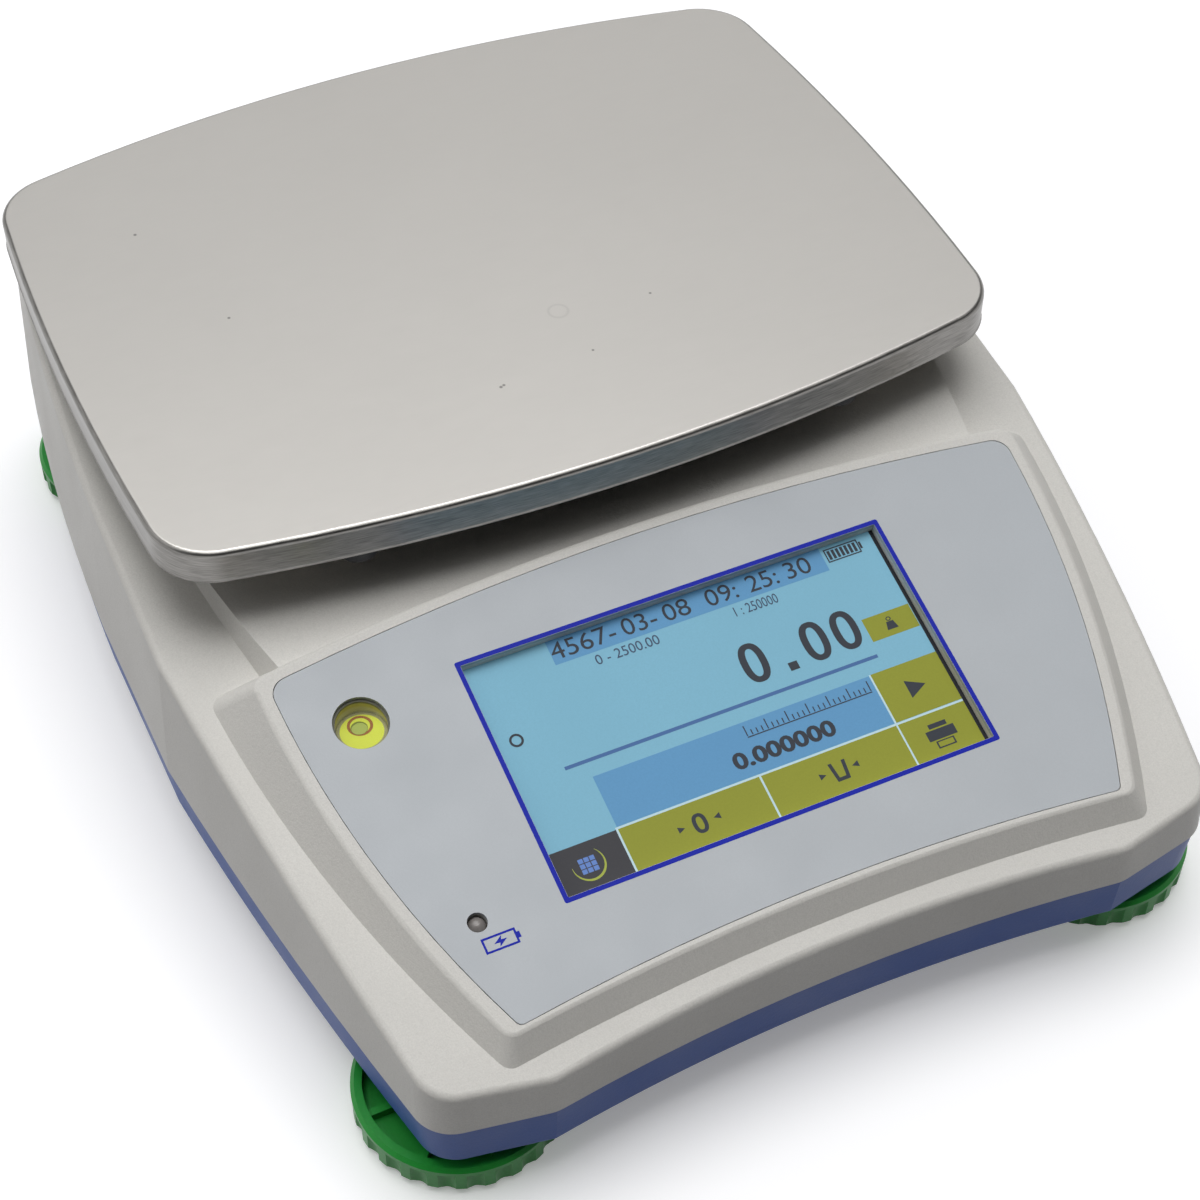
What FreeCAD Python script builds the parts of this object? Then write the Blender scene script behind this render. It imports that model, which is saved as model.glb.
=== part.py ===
import FreeCAD, Part
import math
import os
import re
import Sketcher

# Precision balance with a touch screen, in millimetres.
# X runs to the viewer's right, Y to the back and Z up. The origin lies on the bench, under the middle.
# Heights are given above the underside of the tray, and setbacks from the housing's front line.

Vector = FreeCAD.Vector

SIZES = {
    # housing, seen from above at the parting line
    "housing_length": 256.6,
    "front_half": 64.4,
    "front_bow": 4.6,
    "corner_half": 88.6,
    "corner_setback": 4.5,
    "corner_round": 9,
    "waist_half": 105.2,
    "waist_start": 112,
    "waist_end": 158,
    "side_front_bulge": 1.5,
    "side_rear_bulge": 2,
    "rear_half": 94.5,
    "rear_round": 12,
    "wall_draft": 3.5,
    "housing_wall": 2.5,
    "deck_round": 1.6,
    # heights of the deck's long arc
    "deck_front_height": 21.8,
    "deck_middle_height": 47.1,
    "deck_rear_height": 57.3,
    # tray
    "foot_height": 12.5,
    "tray_height": 12,
    "tray_inset": 0.4,
    "tray_draft": 3.5,
    "tray_bottom_round": 0.8,
    "tray_wall": 2.4,
    "tray_floor": 3,
    "tray_lip": 2.4,
    "lip_thickness": 1.2,
    "lip_clearance": 0.2,
    # raised plateau under the pan
    "plateau_setback": 86,
    "plateau_height": 47.9,
    "plateau_tilt": 3.8,
    "plateau_front_half": 78.8,
    "plateau_middle_half": 88.4,
    "plateau_rear_half": 85.8,
    "plateau_depth": 158,
    "plateau_drop": 10,
    "plateau_flank_angle": 20,
    "collar_radius": 18,
    "collar_wall": 2,
    "collar_height": 2.5,
    # console
    "console_setback": 10.1,
    "console_height": 29.3,
    "console_tilt": 15.4,
    "flank_angle": 35,
    "rim_side": 2.6,
    "rim_front": 1.4,
    "rim_rear": 2.2,
    "rim_round": 1.2,
    "rim_corner": 4,
    # front panel, measured along the slope
    "panel_front_half": 67.5,
    "panel_rear_half": 86.2,
    "panel_depth": 84.4,
    "panel_front_bow": 4.3,
    "panel_side_bow": 4.4,
    "panel_rear_bow": 6.3,
    "panel_thickness": 1,
    "panel_gap": 0.15,
    "panel_front_round": 1.5,
    "panel_rear_round": 4,
    "window_width": 96.6,
    "window_depth": 54.2,
    "window_middle": 47.6,
    # display stack under the console
    "touch_thickness": 1.2,
    "touch_border": 3.6,
    "display_width": 105.5,
    "display_depth": 67.2,
    "display_thickness": 3,
    "carrier_wall": 3.2,
    "carrier_height": 8.5,
    "carrier_ledge": 3.5,
    "board_thickness": 1.6,
    "board_tab": 14,
    "chip_width": 14,
    "chip_height": 1.2,
    "boss_radius": 3,
    "boss_pilot": 1.1,
    "fit_clearance": 0.25,
    # level vial
    "vial_offset": 71.8,
    "vial_middle": 70,
    "vial_hole": 5.8,
    "vial_radius": 5.2,
    "vial_drop": 1.7,
    "vial_body": 6,
    "vial_glass": 1,
    "vial_wall": 0.7,
    "vial_flange": 1.5,
    # charge lamp
    "lamp_offset": 66.8,
    "lamp_middle": 22.3,
    "lamp_radius": 1.95,
    "lamp_drop": 0.6,
    # pan
    "pan_setback": 114.3,
    "pan_height": 70.2,
    "pan_front_half": 97.2,
    "pan_rear_half": 96,
    "pan_depth": 130.5,
    "pan_front_bow": 10.5,
    "pan_rear_bow": 11.9,
    "pan_side_bow": 3.3,
    "pan_round": 15,
    "pan_edge_round": 2.4,
    "pan_skirt": 7.9,
    "pan_sheet": 1,
    "pan_seat_gap": 0.3,
    # pan support
    "support_reach": 57,
    "support_front_inset": 1,
    "support_rear_inset": 9,
    "support_thickness": 4,
    "support_width": 11.5,
    "support_rib": 2,
    "stem_radius": 1.9,
    "cushion_radius": 5.5,
    "cushion_height": 4.9,
    "cushion_chamfer": 1,
    "tip_boss_radius": 4.3,
    "tip_boss_drop": 3.4,
    "post_width": 22,
    # load cell
    "cell_length": 110,
    "cell_width": 30,
    "cell_height": 22,
    "cell_hole_radius": 7.5,
    "cell_hole_spacing": 24,
    "cell_seat": 30,
    "cell_bolt_spacing": 12,
    "bolt_radius": 2.5,
    "spacer_height": 10,
    "stop_gap": 0.3,
    # chassis
    "chassis_length": 156,
    "chassis_width": 84,
    "chassis_thickness": 3,
    "chassis_height": 9,
    "chassis_inset": 7,
    "chassis_corner": 7,
    "chassis_round": 3,
    "chassis_rim_inset": 2,
    # boards and battery in the tray
    "main_board_length": 88,
    "main_board_width": 42,
    "main_board_height": 8,
    "main_board_offset": 70,
    "board_corner": 4,
    "board_gap": 12,
    "battery_length": 70,
    "battery_cell_radius": 9.2,
    "battery_setback": 65.6,
    "battery_play": 1,
    "door_margin": 9,
    "door_lap": 3,
    "door_thickness": 2,
    "door_bite": 6,
    "compartment_wall": 2,
    "compartment_height": 10,
    # sockets and switch in the rear recesses
    "recess_depth": 7,
    "recess_width": 66,
    "recess_height": 20,
    "recess_offset": 50,
    "recess_middle": 27,
    "switch_recess_width": 32,
    "serial_offset": 37,
    "serial_half": 8.3,
    "serial_ear": 7,
    "serial_brim": 4,
    "serial_slant": 1.4,
    "serial_jack_spread": 4.2,
    "jack_offset": 69,
    "jack_bore": 2.75,
    "jack_body": 5.5,
    "socket_flange": 1.5,
    "socket_depth": 12,
    "serial_pitch": 2.77,
    "switch_width": 19,
    "switch_height": 13,
    "switch_depth": 12,
    "switch_rim": 1,
    "switch_shell": 0.8,
    "rocker_depth": 5,
    "rocker_lip": 1.8,
    "rocker_angle": 16,
    # feet
    "front_foot_offset": 74.8,
    "front_foot_setback": 25.1,
    "rear_foot_offset": 78,
    "rear_foot_setback": 232.6,
    "wheel_radius": 22.1,
    "wheel_top": 8.5,
    "wheel_bottom": 1.2,
    "wheel_rim": 2.4,
    "wheel_web": 2,
    "wheel_hub": 8,
    "wheel_ribs": 8,
    "wheel_rib": 1.6,
    "edge_chamfer": 0.8,
    "grip_lip": 1.8,
    "scallop_count": 24,
    "scallop_radius": 2.2,
    "scallop_shift": 1.2,
    "stud_radius": 3.9,
    "stud_reach": 9.5,
    "thread_clearance": 0.1,
    "insert_wall": 1.6,
    "insert_boss": 3,
    "insert_length": 9,
    "pad_radius": 12,
    "pad_height": 3.4,
    "pad_clearance": 0.3,
    "pin_radius": 2.4,
    "pin_height": 3,
    "hub_clearance": 0.3,
    # housing screws
    "screw_radius": 1.5,
    "screw_head": 2.8,
    "head_height": 2,
    "small_head_height": 1.6,
    "bolt_head_height": 3,
    "screw_boss": 4,
    "screw_grip": 6,
    "screw_bite": 10,
    "front_screw_offset": 40,
    "front_screw_setback": 14.1,
    "side_screw_offset": 87,
    "side_screw_setback": 57,
    "middle_screw_offset": 97,
    "middle_screw_setback": 146,
    "rear_screw_offset": 90,
    "rear_screw_setback": 219,
    # how far cuts and hidden ends run past the faces that they meet
    "cut_over": 1,
    "long_over": 10,
}
# tolerances of the tests that pick edges and faces
TOUCHING = 0.01
NEAR = 0.1

FRONT = "-housing_length / 2"
REAR = "housing_length / 2"
PARTING = "foot_height + tray_height"
FLOOR = "foot_height + tray_floor"
CONSOLE_Y = FRONT + " + console_setback"
CONSOLE_Z = "foot_height + console_height"
PAN_FRONT = FRONT + " + pan_setback"
PAN_TOP = "foot_height + pan_height"
PAN_MIDDLE = PAN_FRONT + " + (pan_depth + pan_rear_bow - pan_front_bow) / 2"
SUPPORT_TOP = PAN_TOP + " - pan_sheet - pan_seat_gap - cushion_height"
CHASSIS_TOP = "foot_height + chassis_height + chassis_thickness"
CELL_BOTTOM = CHASSIS_TOP + " + spacer_height"
CELL_TOP = CELL_BOTTOM + " + cell_height"
CELL_FRONT = PAN_MIDDLE + " - cell_length / 2"
POST_Y = CELL_FRONT + " + cell_seat / 2"
BATTERY_Y = FRONT + " + battery_setback"
RECESS_Y = REAR + " - recess_depth"
RECESS_Z = "foot_height + recess_middle"
SERIAL_WIDTH = "2 * serial_half + serial_slant"
SERIAL_HEIGHT = "serial_half + serial_slant"
VIAL_Y = CONSOLE_Y + " + vial_middle * cos(console_tilt)"
VIAL_TOP = CONSOLE_Z + " + vial_middle * sin(console_tilt) - vial_drop"
CARRIER_DEPTH = "housing_wall + carrier_height"
CARRIER_WIDTH = "display_width + 2 * (carrier_wall + fit_clearance)"
CARRIER_BREADTH = "display_depth + 2 * (carrier_wall + fit_clearance)"
BOSS_X = "(" + CARRIER_WIDTH + ") / 2 + boss_radius + fit_clearance"
BOSS_V = "display_depth / 2 - boss_radius"
SUPPORT_FRONT = PAN_FRONT + " + support_front_inset"
SUPPORT_REAR = PAN_FRONT + " + pan_depth - support_rear_inset"
BOARD_Y = PAN_FRONT + " + main_board_length / 2 + board_gap"
STOP_Y = CELL_FRONT + " + bolt_radius * 3"
CELL_REAR = CELL_FRONT + " + cell_length"
REAR_SEAT_Y = CELL_REAR + " - cell_seat / 2"
CHASSIS_Y = REAR + " - chassis_inset - chassis_length / 2"
FEET = {
    "front_left": ("-front_foot_offset", FRONT + " + front_foot_setback"),
    "front_right": ("front_foot_offset", FRONT + " + front_foot_setback"),
    "rear_left": ("-rear_foot_offset", FRONT + " + rear_foot_setback"),
    "rear_right": ("rear_foot_offset", FRONT + " + rear_foot_setback"),
}
HOUSING_SCREWS = [(sign + row + "_screw_offset", FRONT + " + " + row + "_screw_setback")
                  for row in ("front", "side", "middle", "rear") for sign in ("-", "")]
INSERT_RADIUS = "stud_radius + thread_clearance + insert_wall"
STUD_BORE = "stud_radius + thread_clearance / 2"
CHASSIS_SCREWS = [("%s(chassis_width / 2 - chassis_corner)" % sign,
                   CHASSIS_Y + " %s (chassis_length / 2 - chassis_corner)" % end)
                  for sign in ("-", "") for end in "-+"]
MAIN_BOARD_SCREWS = [("-main_board_offset %s (main_board_width / 2 - board_corner)" % sign,
                      BOARD_Y + " %s (main_board_length / 2 - board_corner)" % end)
                     for sign in "-+" for end in "-+"]
FRONT_BOLTS = [("0", POST_Y + " %s cell_bolt_spacing / 2" % sign) for sign in "-+"]
REAR_BOLTS = [("0", REAR_SEAT_Y + " %s cell_bolt_spacing / 2" % sign) for sign in "-+"]
CUSHIONS = [(sign + "support_reach", line) for sign in ("-", "") for line in (SUPPORT_FRONT, SUPPORT_REAR)]
DOOR_OPENING_X = "battery_length + 2 * battery_play"
DOOR_OPENING_Y = "4 * battery_cell_radius + 2 * battery_play"
DOOR_SCREW_X = "((" + DOOR_OPENING_X + ") / 2 + compartment_wall + boss_radius * 5 / 6)"
DOOR_SCREWS = [(sign + DOOR_SCREW_X, BATTERY_Y) for sign in ("-", "")]
BETWEEN_CORNERS = "(front_half + corner_half) / 2"
BEHIND_WAIST = FRONT + " + (waist_end + housing_length) / 2"
# parts on the main board: middle across and along, width and length, as shares of the board
MAIN_CHIPS = [
    (-0.1, 0.25, 0.35, 0.16),
    (0.2, -0.1, 0.3, 0.12),
    (-0.2, -0.25, 0.3, 0.14),
    (0.25, 0.3, 0.2, 0.1),
]
BOARD_SCREWS = [(side + "(" + BOSS_X + ")", "window_middle " + end + " (" + BOSS_V + ")")
                for side in ("-", "") for end in "-+"]

doc = FreeCAD.newDocument("Balance")
parts = []


def formula(text):
    """Return the expression with every size's name pointing at the sheet."""
    return re.sub(r"\b[a-z]+(?:_[a-z]+)+\b", lambda found: "Sizes." + found.group(0), text)


def value(text):
    """Return the number that a formula gives with the sheet's sizes."""
    found = doc.Sizes.evalExpression(re.sub(r"Sizes\.", "", formula(text)))
    return float(getattr(found, "Value", found))


def make_sheet():
    """Write the driving dimensions into the spreadsheet, one row each."""
    sheet = doc.addObject("Spreadsheet::Sheet", "Sizes")
    for row, (name, number) in enumerate(SIZES.items(), 1):
        sheet.set("A%d" % row, name)
        sheet.set("B%d" % row, str(number))
        sheet.setAlias("B%d" % row, name)
    doc.recompute()


def new_body(label):
    """Start a body for a piece or for a form that a piece is cut from."""
    body = doc.addObject("PartDesign::Body", label)
    body.Label = label
    return body


def keep(item, label=None):
    """Note an object as a sub-part that is written out under its label."""
    if label:
        item.Label = label
    parts.append(item)
    return item


def plane_of(body, role):
    """Return the body's own origin plane with the given role."""
    return next(feature for feature in body.Origin.OriginFeatures if feature.Role == role)


def new_sketch(body, role="XY_Plane", shift=("0", "0", "0"), tilt=None):
    """Attach a sketch to an origin plane, moved by formulas and tilted about X."""
    sketch = body.newObject("Sketcher::SketchObject", "Sketch")
    sketch.AttachmentSupport = [(plane_of(body, role), "")]
    sketch.MapMode = "FlatFace"
    if tilt:
        sketch.AttachmentOffset = FreeCAD.Placement(Vector(), FreeCAD.Rotation(Vector(1, 0, 0), 10))
        sketch.setExpression("AttachmentOffset.Rotation.Angle", formula(tilt))
    for axis, text in zip("xyz", shift):
        if text != "0":
            sketch.setExpression("AttachmentOffset.Base." + axis, formula(text))
    return sketch


def flat_sketch(body, height):
    """Attach a level sketch at a height."""
    return new_sketch(body, shift=("0", "0", height))


def rear_sketch(body, setting):
    """Attach an upright sketch across the object at a place along Y; it faces the front."""
    return new_sketch(body, "XZ_Plane", ("0", "0", "-(%s)" % setting))


def console_sketch(body, depth="0"):
    """Attach a sketch parallel to the console, the given depth below its surface."""
    down = "(%s)" % depth
    shift = ("0", CONSOLE_Y + " + %s * sin(console_tilt)" % down,
             CONSOLE_Z + " - %s * cos(console_tilt)" % down)
    return new_sketch(body, "XY_Plane", shift, "console_tilt")


def pin(sketch, index, end, spot):
    """Hold one point of a sketch at a pair of formulas."""
    for kind, text, axis in (("DistanceX", spot[0], -2), ("DistanceY", spot[1], -1)):
        if text == "0":
            sketch.addConstraint(Sketcher.Constraint("PointOnObject", index, end, axis))
            continue
        distance = Sketcher.Constraint(kind, -1, 1, index, end, value(text))
        sketch.setExpression("Constraints[%d]" % sketch.addConstraint(distance), formula(text))


def point(spot):
    """Return the vector of a pair of formulas."""
    return Vector(value(spot[0]), value(spot[1]), 0)


def outline(sketch, corners):
    """Draw a closed outline. A corner is (x, y) after a straight edge, or (x, y, via) after an arc."""
    first = sketch.GeometryCount
    ends = []
    for before, corner in zip([corners[-1]] + corners[:-1], corners):
        start, stop = point(before), point(corner)
        if len(corner) == 2:
            sketch.addGeometry(Part.LineSegment(start, stop), False)
            ends.append((1, 2))
            continue
        via = point(corner[2])
        circle = Part.Arc(start, via, stop).toShape().Curve
        turns_left = (via - start).cross(stop - via).z > 0
        order = (start, stop) if turns_left else (stop, start)
        angles = [math.atan2(spot.y - circle.Center.y, spot.x - circle.Center.x) for spot in order]
        flat = Part.Circle(circle.Center, Vector(0, 0, 1), circle.Radius)
        sketch.addGeometry(Part.ArcOfCircle(flat, *angles), False)
        ends.append((1, 2) if turns_left else (2, 1))
    last = first + len(corners) - 1
    for step, corner in enumerate(corners):
        before = last if step == 0 else first + step - 1
        joint = Sketcher.Constraint("Coincident", before, ends[step - 1][1], first + step, ends[step][0])
        sketch.addConstraint(joint)
        pin(sketch, first + step, ends[step][1], corner)
        if len(corner) == 3:
            mark = sketch.addGeometry(Part.Point(point(corner[2])), True)
            pin(sketch, mark, 1, corner[2])
            sketch.addConstraint(Sketcher.Constraint("PointOnObject", mark, 1, first + step))


def rectangle(sketch, middle, size):
    """Draw a rectangle about a middle point."""
    left, right = ["%s %s (%s) / 2" % (middle[0], sign, size[0]) for sign in "-+"]
    low, high = ["%s %s (%s) / 2" % (middle[1], sign, size[1]) for sign in "-+"]
    outline(sketch, [(right, low), (right, high), (left, high), (left, low)])


def circle(sketch, middle, radius):
    """Draw a circle about a middle point."""
    index = sketch.addGeometry(Part.Circle(point(middle), Vector(0, 0, 1), value(radius)), False)
    pin(sketch, index, 3, middle)
    size = sketch.addConstraint(Sketcher.Constraint("Radius", index, value(radius)))
    sketch.setExpression("Constraints[%d]" % size, formula(radius))


def mirrored(half):
    """Return a whole outline from its right half, which runs from the front to the back."""
    left = []
    for step in range(len(half) - 1, -1, -1):
        corner = ("-(%s)" % half[step][0], half[step][1])
        if step + 1 < len(half) and len(half[step + 1]) == 3:
            via = half[step + 1][2]
            corner += (("-(%s)" % via[0], via[1]),)
        left.append(corner)
    return list(half) + left


def extrude(body, kind, sketch, length, taper=None, back=False, both=False):
    """Pad or pocket a sketch by a formula's length."""
    feature = body.newObject("PartDesign::" + kind, kind)
    feature.Profile = sketch
    feature.setExpression("Length", formula(length))
    feature.Reversed = back
    if both:
        feature.SideType = "Symmetric"
    if taper:
        feature.setExpression("TaperAngle", formula(taper))
    sketch.Visibility = False
    return feature


def pad(body, sketch, length, taper=None, back=False, both=False):
    """Add material from a sketch."""
    return extrude(body, "Pad", sketch, length, taper, back, both)


def pocket(body, sketch, length, taper=None, back=False, both=False):
    """Cut material from a sketch, and make sure that it cut something."""
    doc.recompute()
    before = body.Shape.Volume
    feature = extrude(body, "Pocket", sketch, length, taper, back, both)
    doc.recompute()
    if not body.Shape.Volume < before - TOUCHING:
        raise RuntimeError("a pocket of %s cuts nothing" % body.Label)
    return feature


def fillet(body, radius, choose):
    """Round the edges of the body's last feature that the test picks out."""
    doc.recompute()
    base = body.Tip
    names = ["Edge%d" % number for number, edge in enumerate(base.Shape.Edges, 1) if choose(edge)]
    feature = body.newObject("PartDesign::Fillet", "Fillet")
    feature.Base = (base, names)
    feature.setExpression("Radius", formula(radius))
    doc.recompute()
    return feature


def is_upright(edge):
    """Tell whether an edge runs mostly along Z."""
    box = edge.BoundBox
    return box.ZLength > 2 * max(box.XLength, box.YLength)


def turned(body, profile):
    """Revolve a closed profile of (radius, height) formulas about the body's Z axis."""
    sketch = new_sketch(body, "XZ_Plane")
    outline(sketch, profile)
    feature = body.newObject("PartDesign::Revolution", "Revolution")
    feature.Profile = sketch
    feature.ReferenceAxis = (sketch, ["V_Axis"])
    sketch.Visibility = False
    return feature


def place(item, spot):
    """Bind an object's position to three formulas."""
    for axis, text in zip("xyz", spot):
        if text != "0":
            item.setExpression("Placement.Base." + axis, formula(text))


def boolean(kind, label, items):
    """Join, cut or intersect objects in a Part feature."""
    if kind == "MultiFuse":
        feature = doc.addObject("Part::MultiFuse", label)
        feature.Shapes = items
    else:
        feature = doc.addObject("Part::" + kind, label)
        feature.Base, feature.Tool = items
    feature.Label = label
    doc.recompute()
    return feature


def plan_corners(inset):
    """Return the housing's outline seen from above, moved in by a formula."""
    inward = "(%s)" % inset
    return mirrored([
        ("front_half - 0.2 * " + inward, FRONT + " + " + inward,
         ("0", FRONT + " + front_bow + " + inward)),
        ("corner_half - " + inward, FRONT + " + corner_setback + " + inward),
        ("waist_half - " + inward, FRONT + " + waist_start",
         ("(corner_half + waist_half) / 2 + side_front_bulge - " + inward,
          FRONT + " + (corner_setback + waist_start) / 2")),
        ("waist_half - " + inward, FRONT + " + waist_end"),
        ("rear_half - " + inward, REAR + " - " + inward,
         ("(rear_half + waist_half) / 2 + side_rear_bulge - " + inward,
          FRONT + " + (housing_length + waist_end) / 2")),
    ])


def crest_corners(inset):
    """Return the console's rim in the plane of its slope, moved in by a formula."""
    inward = "(%s)" % inset
    corners = mirrored([
        ("panel_front_half + rim_side - " + inward, "-rim_front + " + inward,
         ("0", "panel_front_bow - rim_front + " + inward)),
        ("panel_rear_half + rim_side - " + inward, "panel_depth + rim_rear - " + inward,
         ("(panel_front_half + panel_rear_half) / 2 + panel_side_bow + rim_side - " + inward,
          "panel_depth / 2")),
    ])
    corners[2] += (("0", "panel_depth + rim_rear + panel_rear_bow - " + inward),)
    return corners


def panel_corners(inset):
    """Return the front panel's outline in the plane of the slope, moved in by a formula."""
    inward = "(%s)" % inset
    corners = mirrored([
        ("panel_front_half - " + inward, inward, ("0", "panel_front_bow + " + inward)),
        ("panel_rear_half - " + inward, "panel_depth - " + inward,
         ("(panel_front_half + panel_rear_half) / 2 + panel_side_bow - " + inward, "panel_depth / 2")),
    ])
    corners[2] += (("0", "panel_depth + panel_rear_bow - " + inward),)
    return corners


def plateau_corners(inset):
    """Return the plateau's outline in its slightly tilted plane, moved in by a formula."""
    inward = "(%s)" % inset
    return mirrored([
        ("plateau_front_half - " + inward, inward),
        ("plateau_rear_half - " + inward, "plateau_depth - " + inward,
         ("plateau_middle_half + 2 - " + inward, "plateau_depth * 0.42")),
    ])


def plan_form(label, inset, rounded):
    """Make the drafted block of the housing's outline."""
    body = new_body(label)
    sketch = new_sketch(body, shift=("0", "0", PARTING))
    outline(sketch, plan_corners(inset))
    pad(body, sketch, "deck_rear_height", "-wall_draft")
    if rounded:
        doc.recompute()
        fillet(body, "corner_round", lambda e: is_upright(e)
               and abs(e.CenterOfMass.x) > value(BETWEEN_CORNERS)
               and e.CenterOfMass.y < value(FRONT + " + waist_start / 2"))
        fillet(body, "rear_round", lambda e: is_upright(e) and e.CenterOfMass.y > value(BEHIND_WAIST))
        fillet(body, "corner_round", lambda e: is_upright(e)
               and abs(e.CenterOfMass.x) < value(BETWEEN_CORNERS)
               and e.CenterOfMass.y < value(FRONT + " + waist_start / 2"))
    doc.recompute()
    return body


def flank(body, sketch, drop, draft):
    """Pad a raised form straight down with the draft of its flanks."""
    feature = pad(body, sketch, drop, draft)
    feature.UseCustomVector = True
    feature.AlongSketchNormal = False
    feature.Direction = Vector(0, 0, -1)
    return feature


def top_form(label, inset):
    """Make the block with the deck's arc, the plateau and the console, lowered and moved in by a formula."""
    body = new_body(label)
    low = "-(%s)" % inset
    side = new_sketch(body, "YZ_Plane")
    outline(side, [
        (FRONT + " - cut_over", PARTING),
        (REAR + " + cut_over", PARTING),
        (REAR + " + cut_over", "foot_height + deck_rear_height " + low),
        (FRONT + " - cut_over", "foot_height + deck_front_height " + low,
         ("0", "foot_height + deck_middle_height " + low)),
    ])
    pad(body, side, "2 * (waist_half + cut_over)", both=True)
    crown = ("0", FRONT + " + plateau_setback", "foot_height + plateau_height " + low)
    plateau = new_sketch(body, "XY_Plane", crown, "plateau_tilt")
    outline(plateau, plateau_corners(inset))
    flank(body, plateau, "plateau_drop", "plateau_flank_angle")
    crest = console_sketch(body, inset)
    outline(crest, crest_corners(inset))
    flank(body, crest, "console_height - tray_height", "flank_angle")
    doc.recompute()
    return body


def housing_form(label, inset, rounded=False):
    """Make the closed form of the upper housing, moved in by a formula."""
    plan = plan_form(label + "_plan", inset, rounded)
    top = top_form(label + "_top", inset)
    return boolean("Common", label, [top, plan])


def chord(edge):
    """Return the direction from one end of an edge to the other."""
    return (edge.valueAt(edge.LastParameter) - edge.valueAt(edge.FirstParameter)).normalize()


def by_plane(edge, spot, normal):
    """Tell whether an edge lies in a plane."""
    points = [vertex.Point for vertex in edge.Vertexes] + [edge.CenterOfMass]
    return all(abs((place - spot).dot(normal)) < TOUCHING for place in points)


def console_frame():
    """Return the console's origin and its normal."""
    tilt = math.radians(value("console_tilt"))
    return Vector(0, value(CONSOLE_Y), value(CONSOLE_Z)), Vector(0, -math.sin(tilt), math.cos(tilt))


def console_point(across, along, depth=0):
    """Return a point of the console from its place on the slope and its depth below it."""
    spot, normal = console_frame()
    slope = Vector(0, normal.z, -normal.y)
    return spot + Vector(across, 0, 0) + slope * along - normal * depth


def rounded_skin(outer, walls):
    """Round the console's corners and rim and the deck's outer edge on the closed form."""
    skin = new_body("skin")
    skin.BaseFeature = outer
    spot, normal = console_frame()
    fillet(skin, "rim_corner", lambda e: not by_plane(e, spot, normal) and len(e.Vertexes) == 2
           and sum(abs((v.Point - spot).dot(normal)) < TOUCHING for v in e.Vertexes) == 1)
    fillet(skin, "rim_round", lambda e: by_plane(e, spot, normal))
    limit = value(PARTING + " + housing_wall")
    fillet(skin, "deck_round", lambda e: e.CenterOfMass.z > limit and not is_upright(e)
           and walls.distToShape(Part.Vertex(e.CenterOfMass))[0] < TOUCHING
           and walls.distToShape(Part.Vertex(e.valueAt(e.FirstParameter)))[0] < TOUCHING)
    return skin


def copies(label, source, spots):
    """Make one node of equal pieces: a copy of the source's solid at each spot."""
    doc.recompute()
    node = doc.addObject("Part::Feature", label)
    node.Label = label
    node.Shape = Part.makeCompound([source.Shape.translated(spot) for spot in spots])
    return keep(node)


def spots_of(pairs, height):
    """Return the points of some pairs of formulas at one height."""
    return [Vector(value(x), value(y), value(height)) for x, y in pairs]


def screw_set(label, spots, head, head_height, shank, reach, turn=None):
    """Make a group of screws: heads with a recess, seated at the spots, with shanks pointing up."""
    tip = Vector(0, 0, value(reach))
    solid = Part.makeCylinder(value(head), value(head_height), Vector(0, 0, -value(head_height)))
    solid = solid.fuse(Part.makeCylinder(value(shank), tip.z))
    drive = Part.makeCylinder(value(shank) * 0.6, value(head_height) / 2, Vector(0, 0, -value(head_height)))
    solid = solid.cut(drive).removeSplitter()
    if turn:
        solid.rotate(Vector(), turn[0], turn[1])
    node = doc.addObject("Part::Feature", label)
    node.Label = label
    node.Shape = Part.makeCompound([solid.translated(spot) for spot in spots])
    return keep(node)


def columns(label, pairs, radius, low, length):
    """Make upright round columns in one body."""
    body = new_body(label)
    body.AllowCompound = True
    sketch = flat_sketch(body, low)
    for pair in pairs:
        circle(sketch, pair, radius)
    pad(body, sketch, length)
    return body


def panel_form(label, inset, extra):
    """Make a plate of the front panel's outline with its rounded corners."""
    body = new_body(label)
    sketch = console_sketch(body, "panel_thickness")
    outline(sketch, panel_corners(inset))
    pad(body, sketch, "panel_thickness + " + extra)
    doc.recompute()
    spot, normal = console_frame()
    front = value(CONSOLE_Y + " + panel_depth / 2")
    for radius, is_front in (("panel_front_round", True), ("panel_rear_round", False)):
        fillet(body, radius, lambda e: abs(chord(e).dot(normal)) > 1 - TOUCHING
               and (e.CenterOfMass.y < front) == is_front)
    return body


def recess_blocks():
    """Make the walls round the two recesses in the housing's rear."""
    body = new_body("recess_blocks")
    body.AllowCompound = True
    sketch = rear_sketch(body, RECESS_Y + " - housing_wall")
    for middle, width in (("-recess_offset", "recess_width"), ("recess_offset", "switch_recess_width")):
        rectangle(sketch, (middle, RECESS_Z),
                  (width + " + 2 * housing_wall", "recess_height + 2 * housing_wall"))
    pad(body, sketch, "recess_depth + housing_wall", back=True)
    return body


def display_bosses():
    """Make the four bosses under the console that carry the display."""
    body = new_body("display_bosses")
    body.AllowCompound = True
    sketch = console_sketch(body, CARRIER_DEPTH)
    for spot in BOARD_SCREWS:
        circle(sketch, spot, "boss_radius")
    pad(body, sketch, "carrier_height + housing_wall / 4")
    return body


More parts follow.
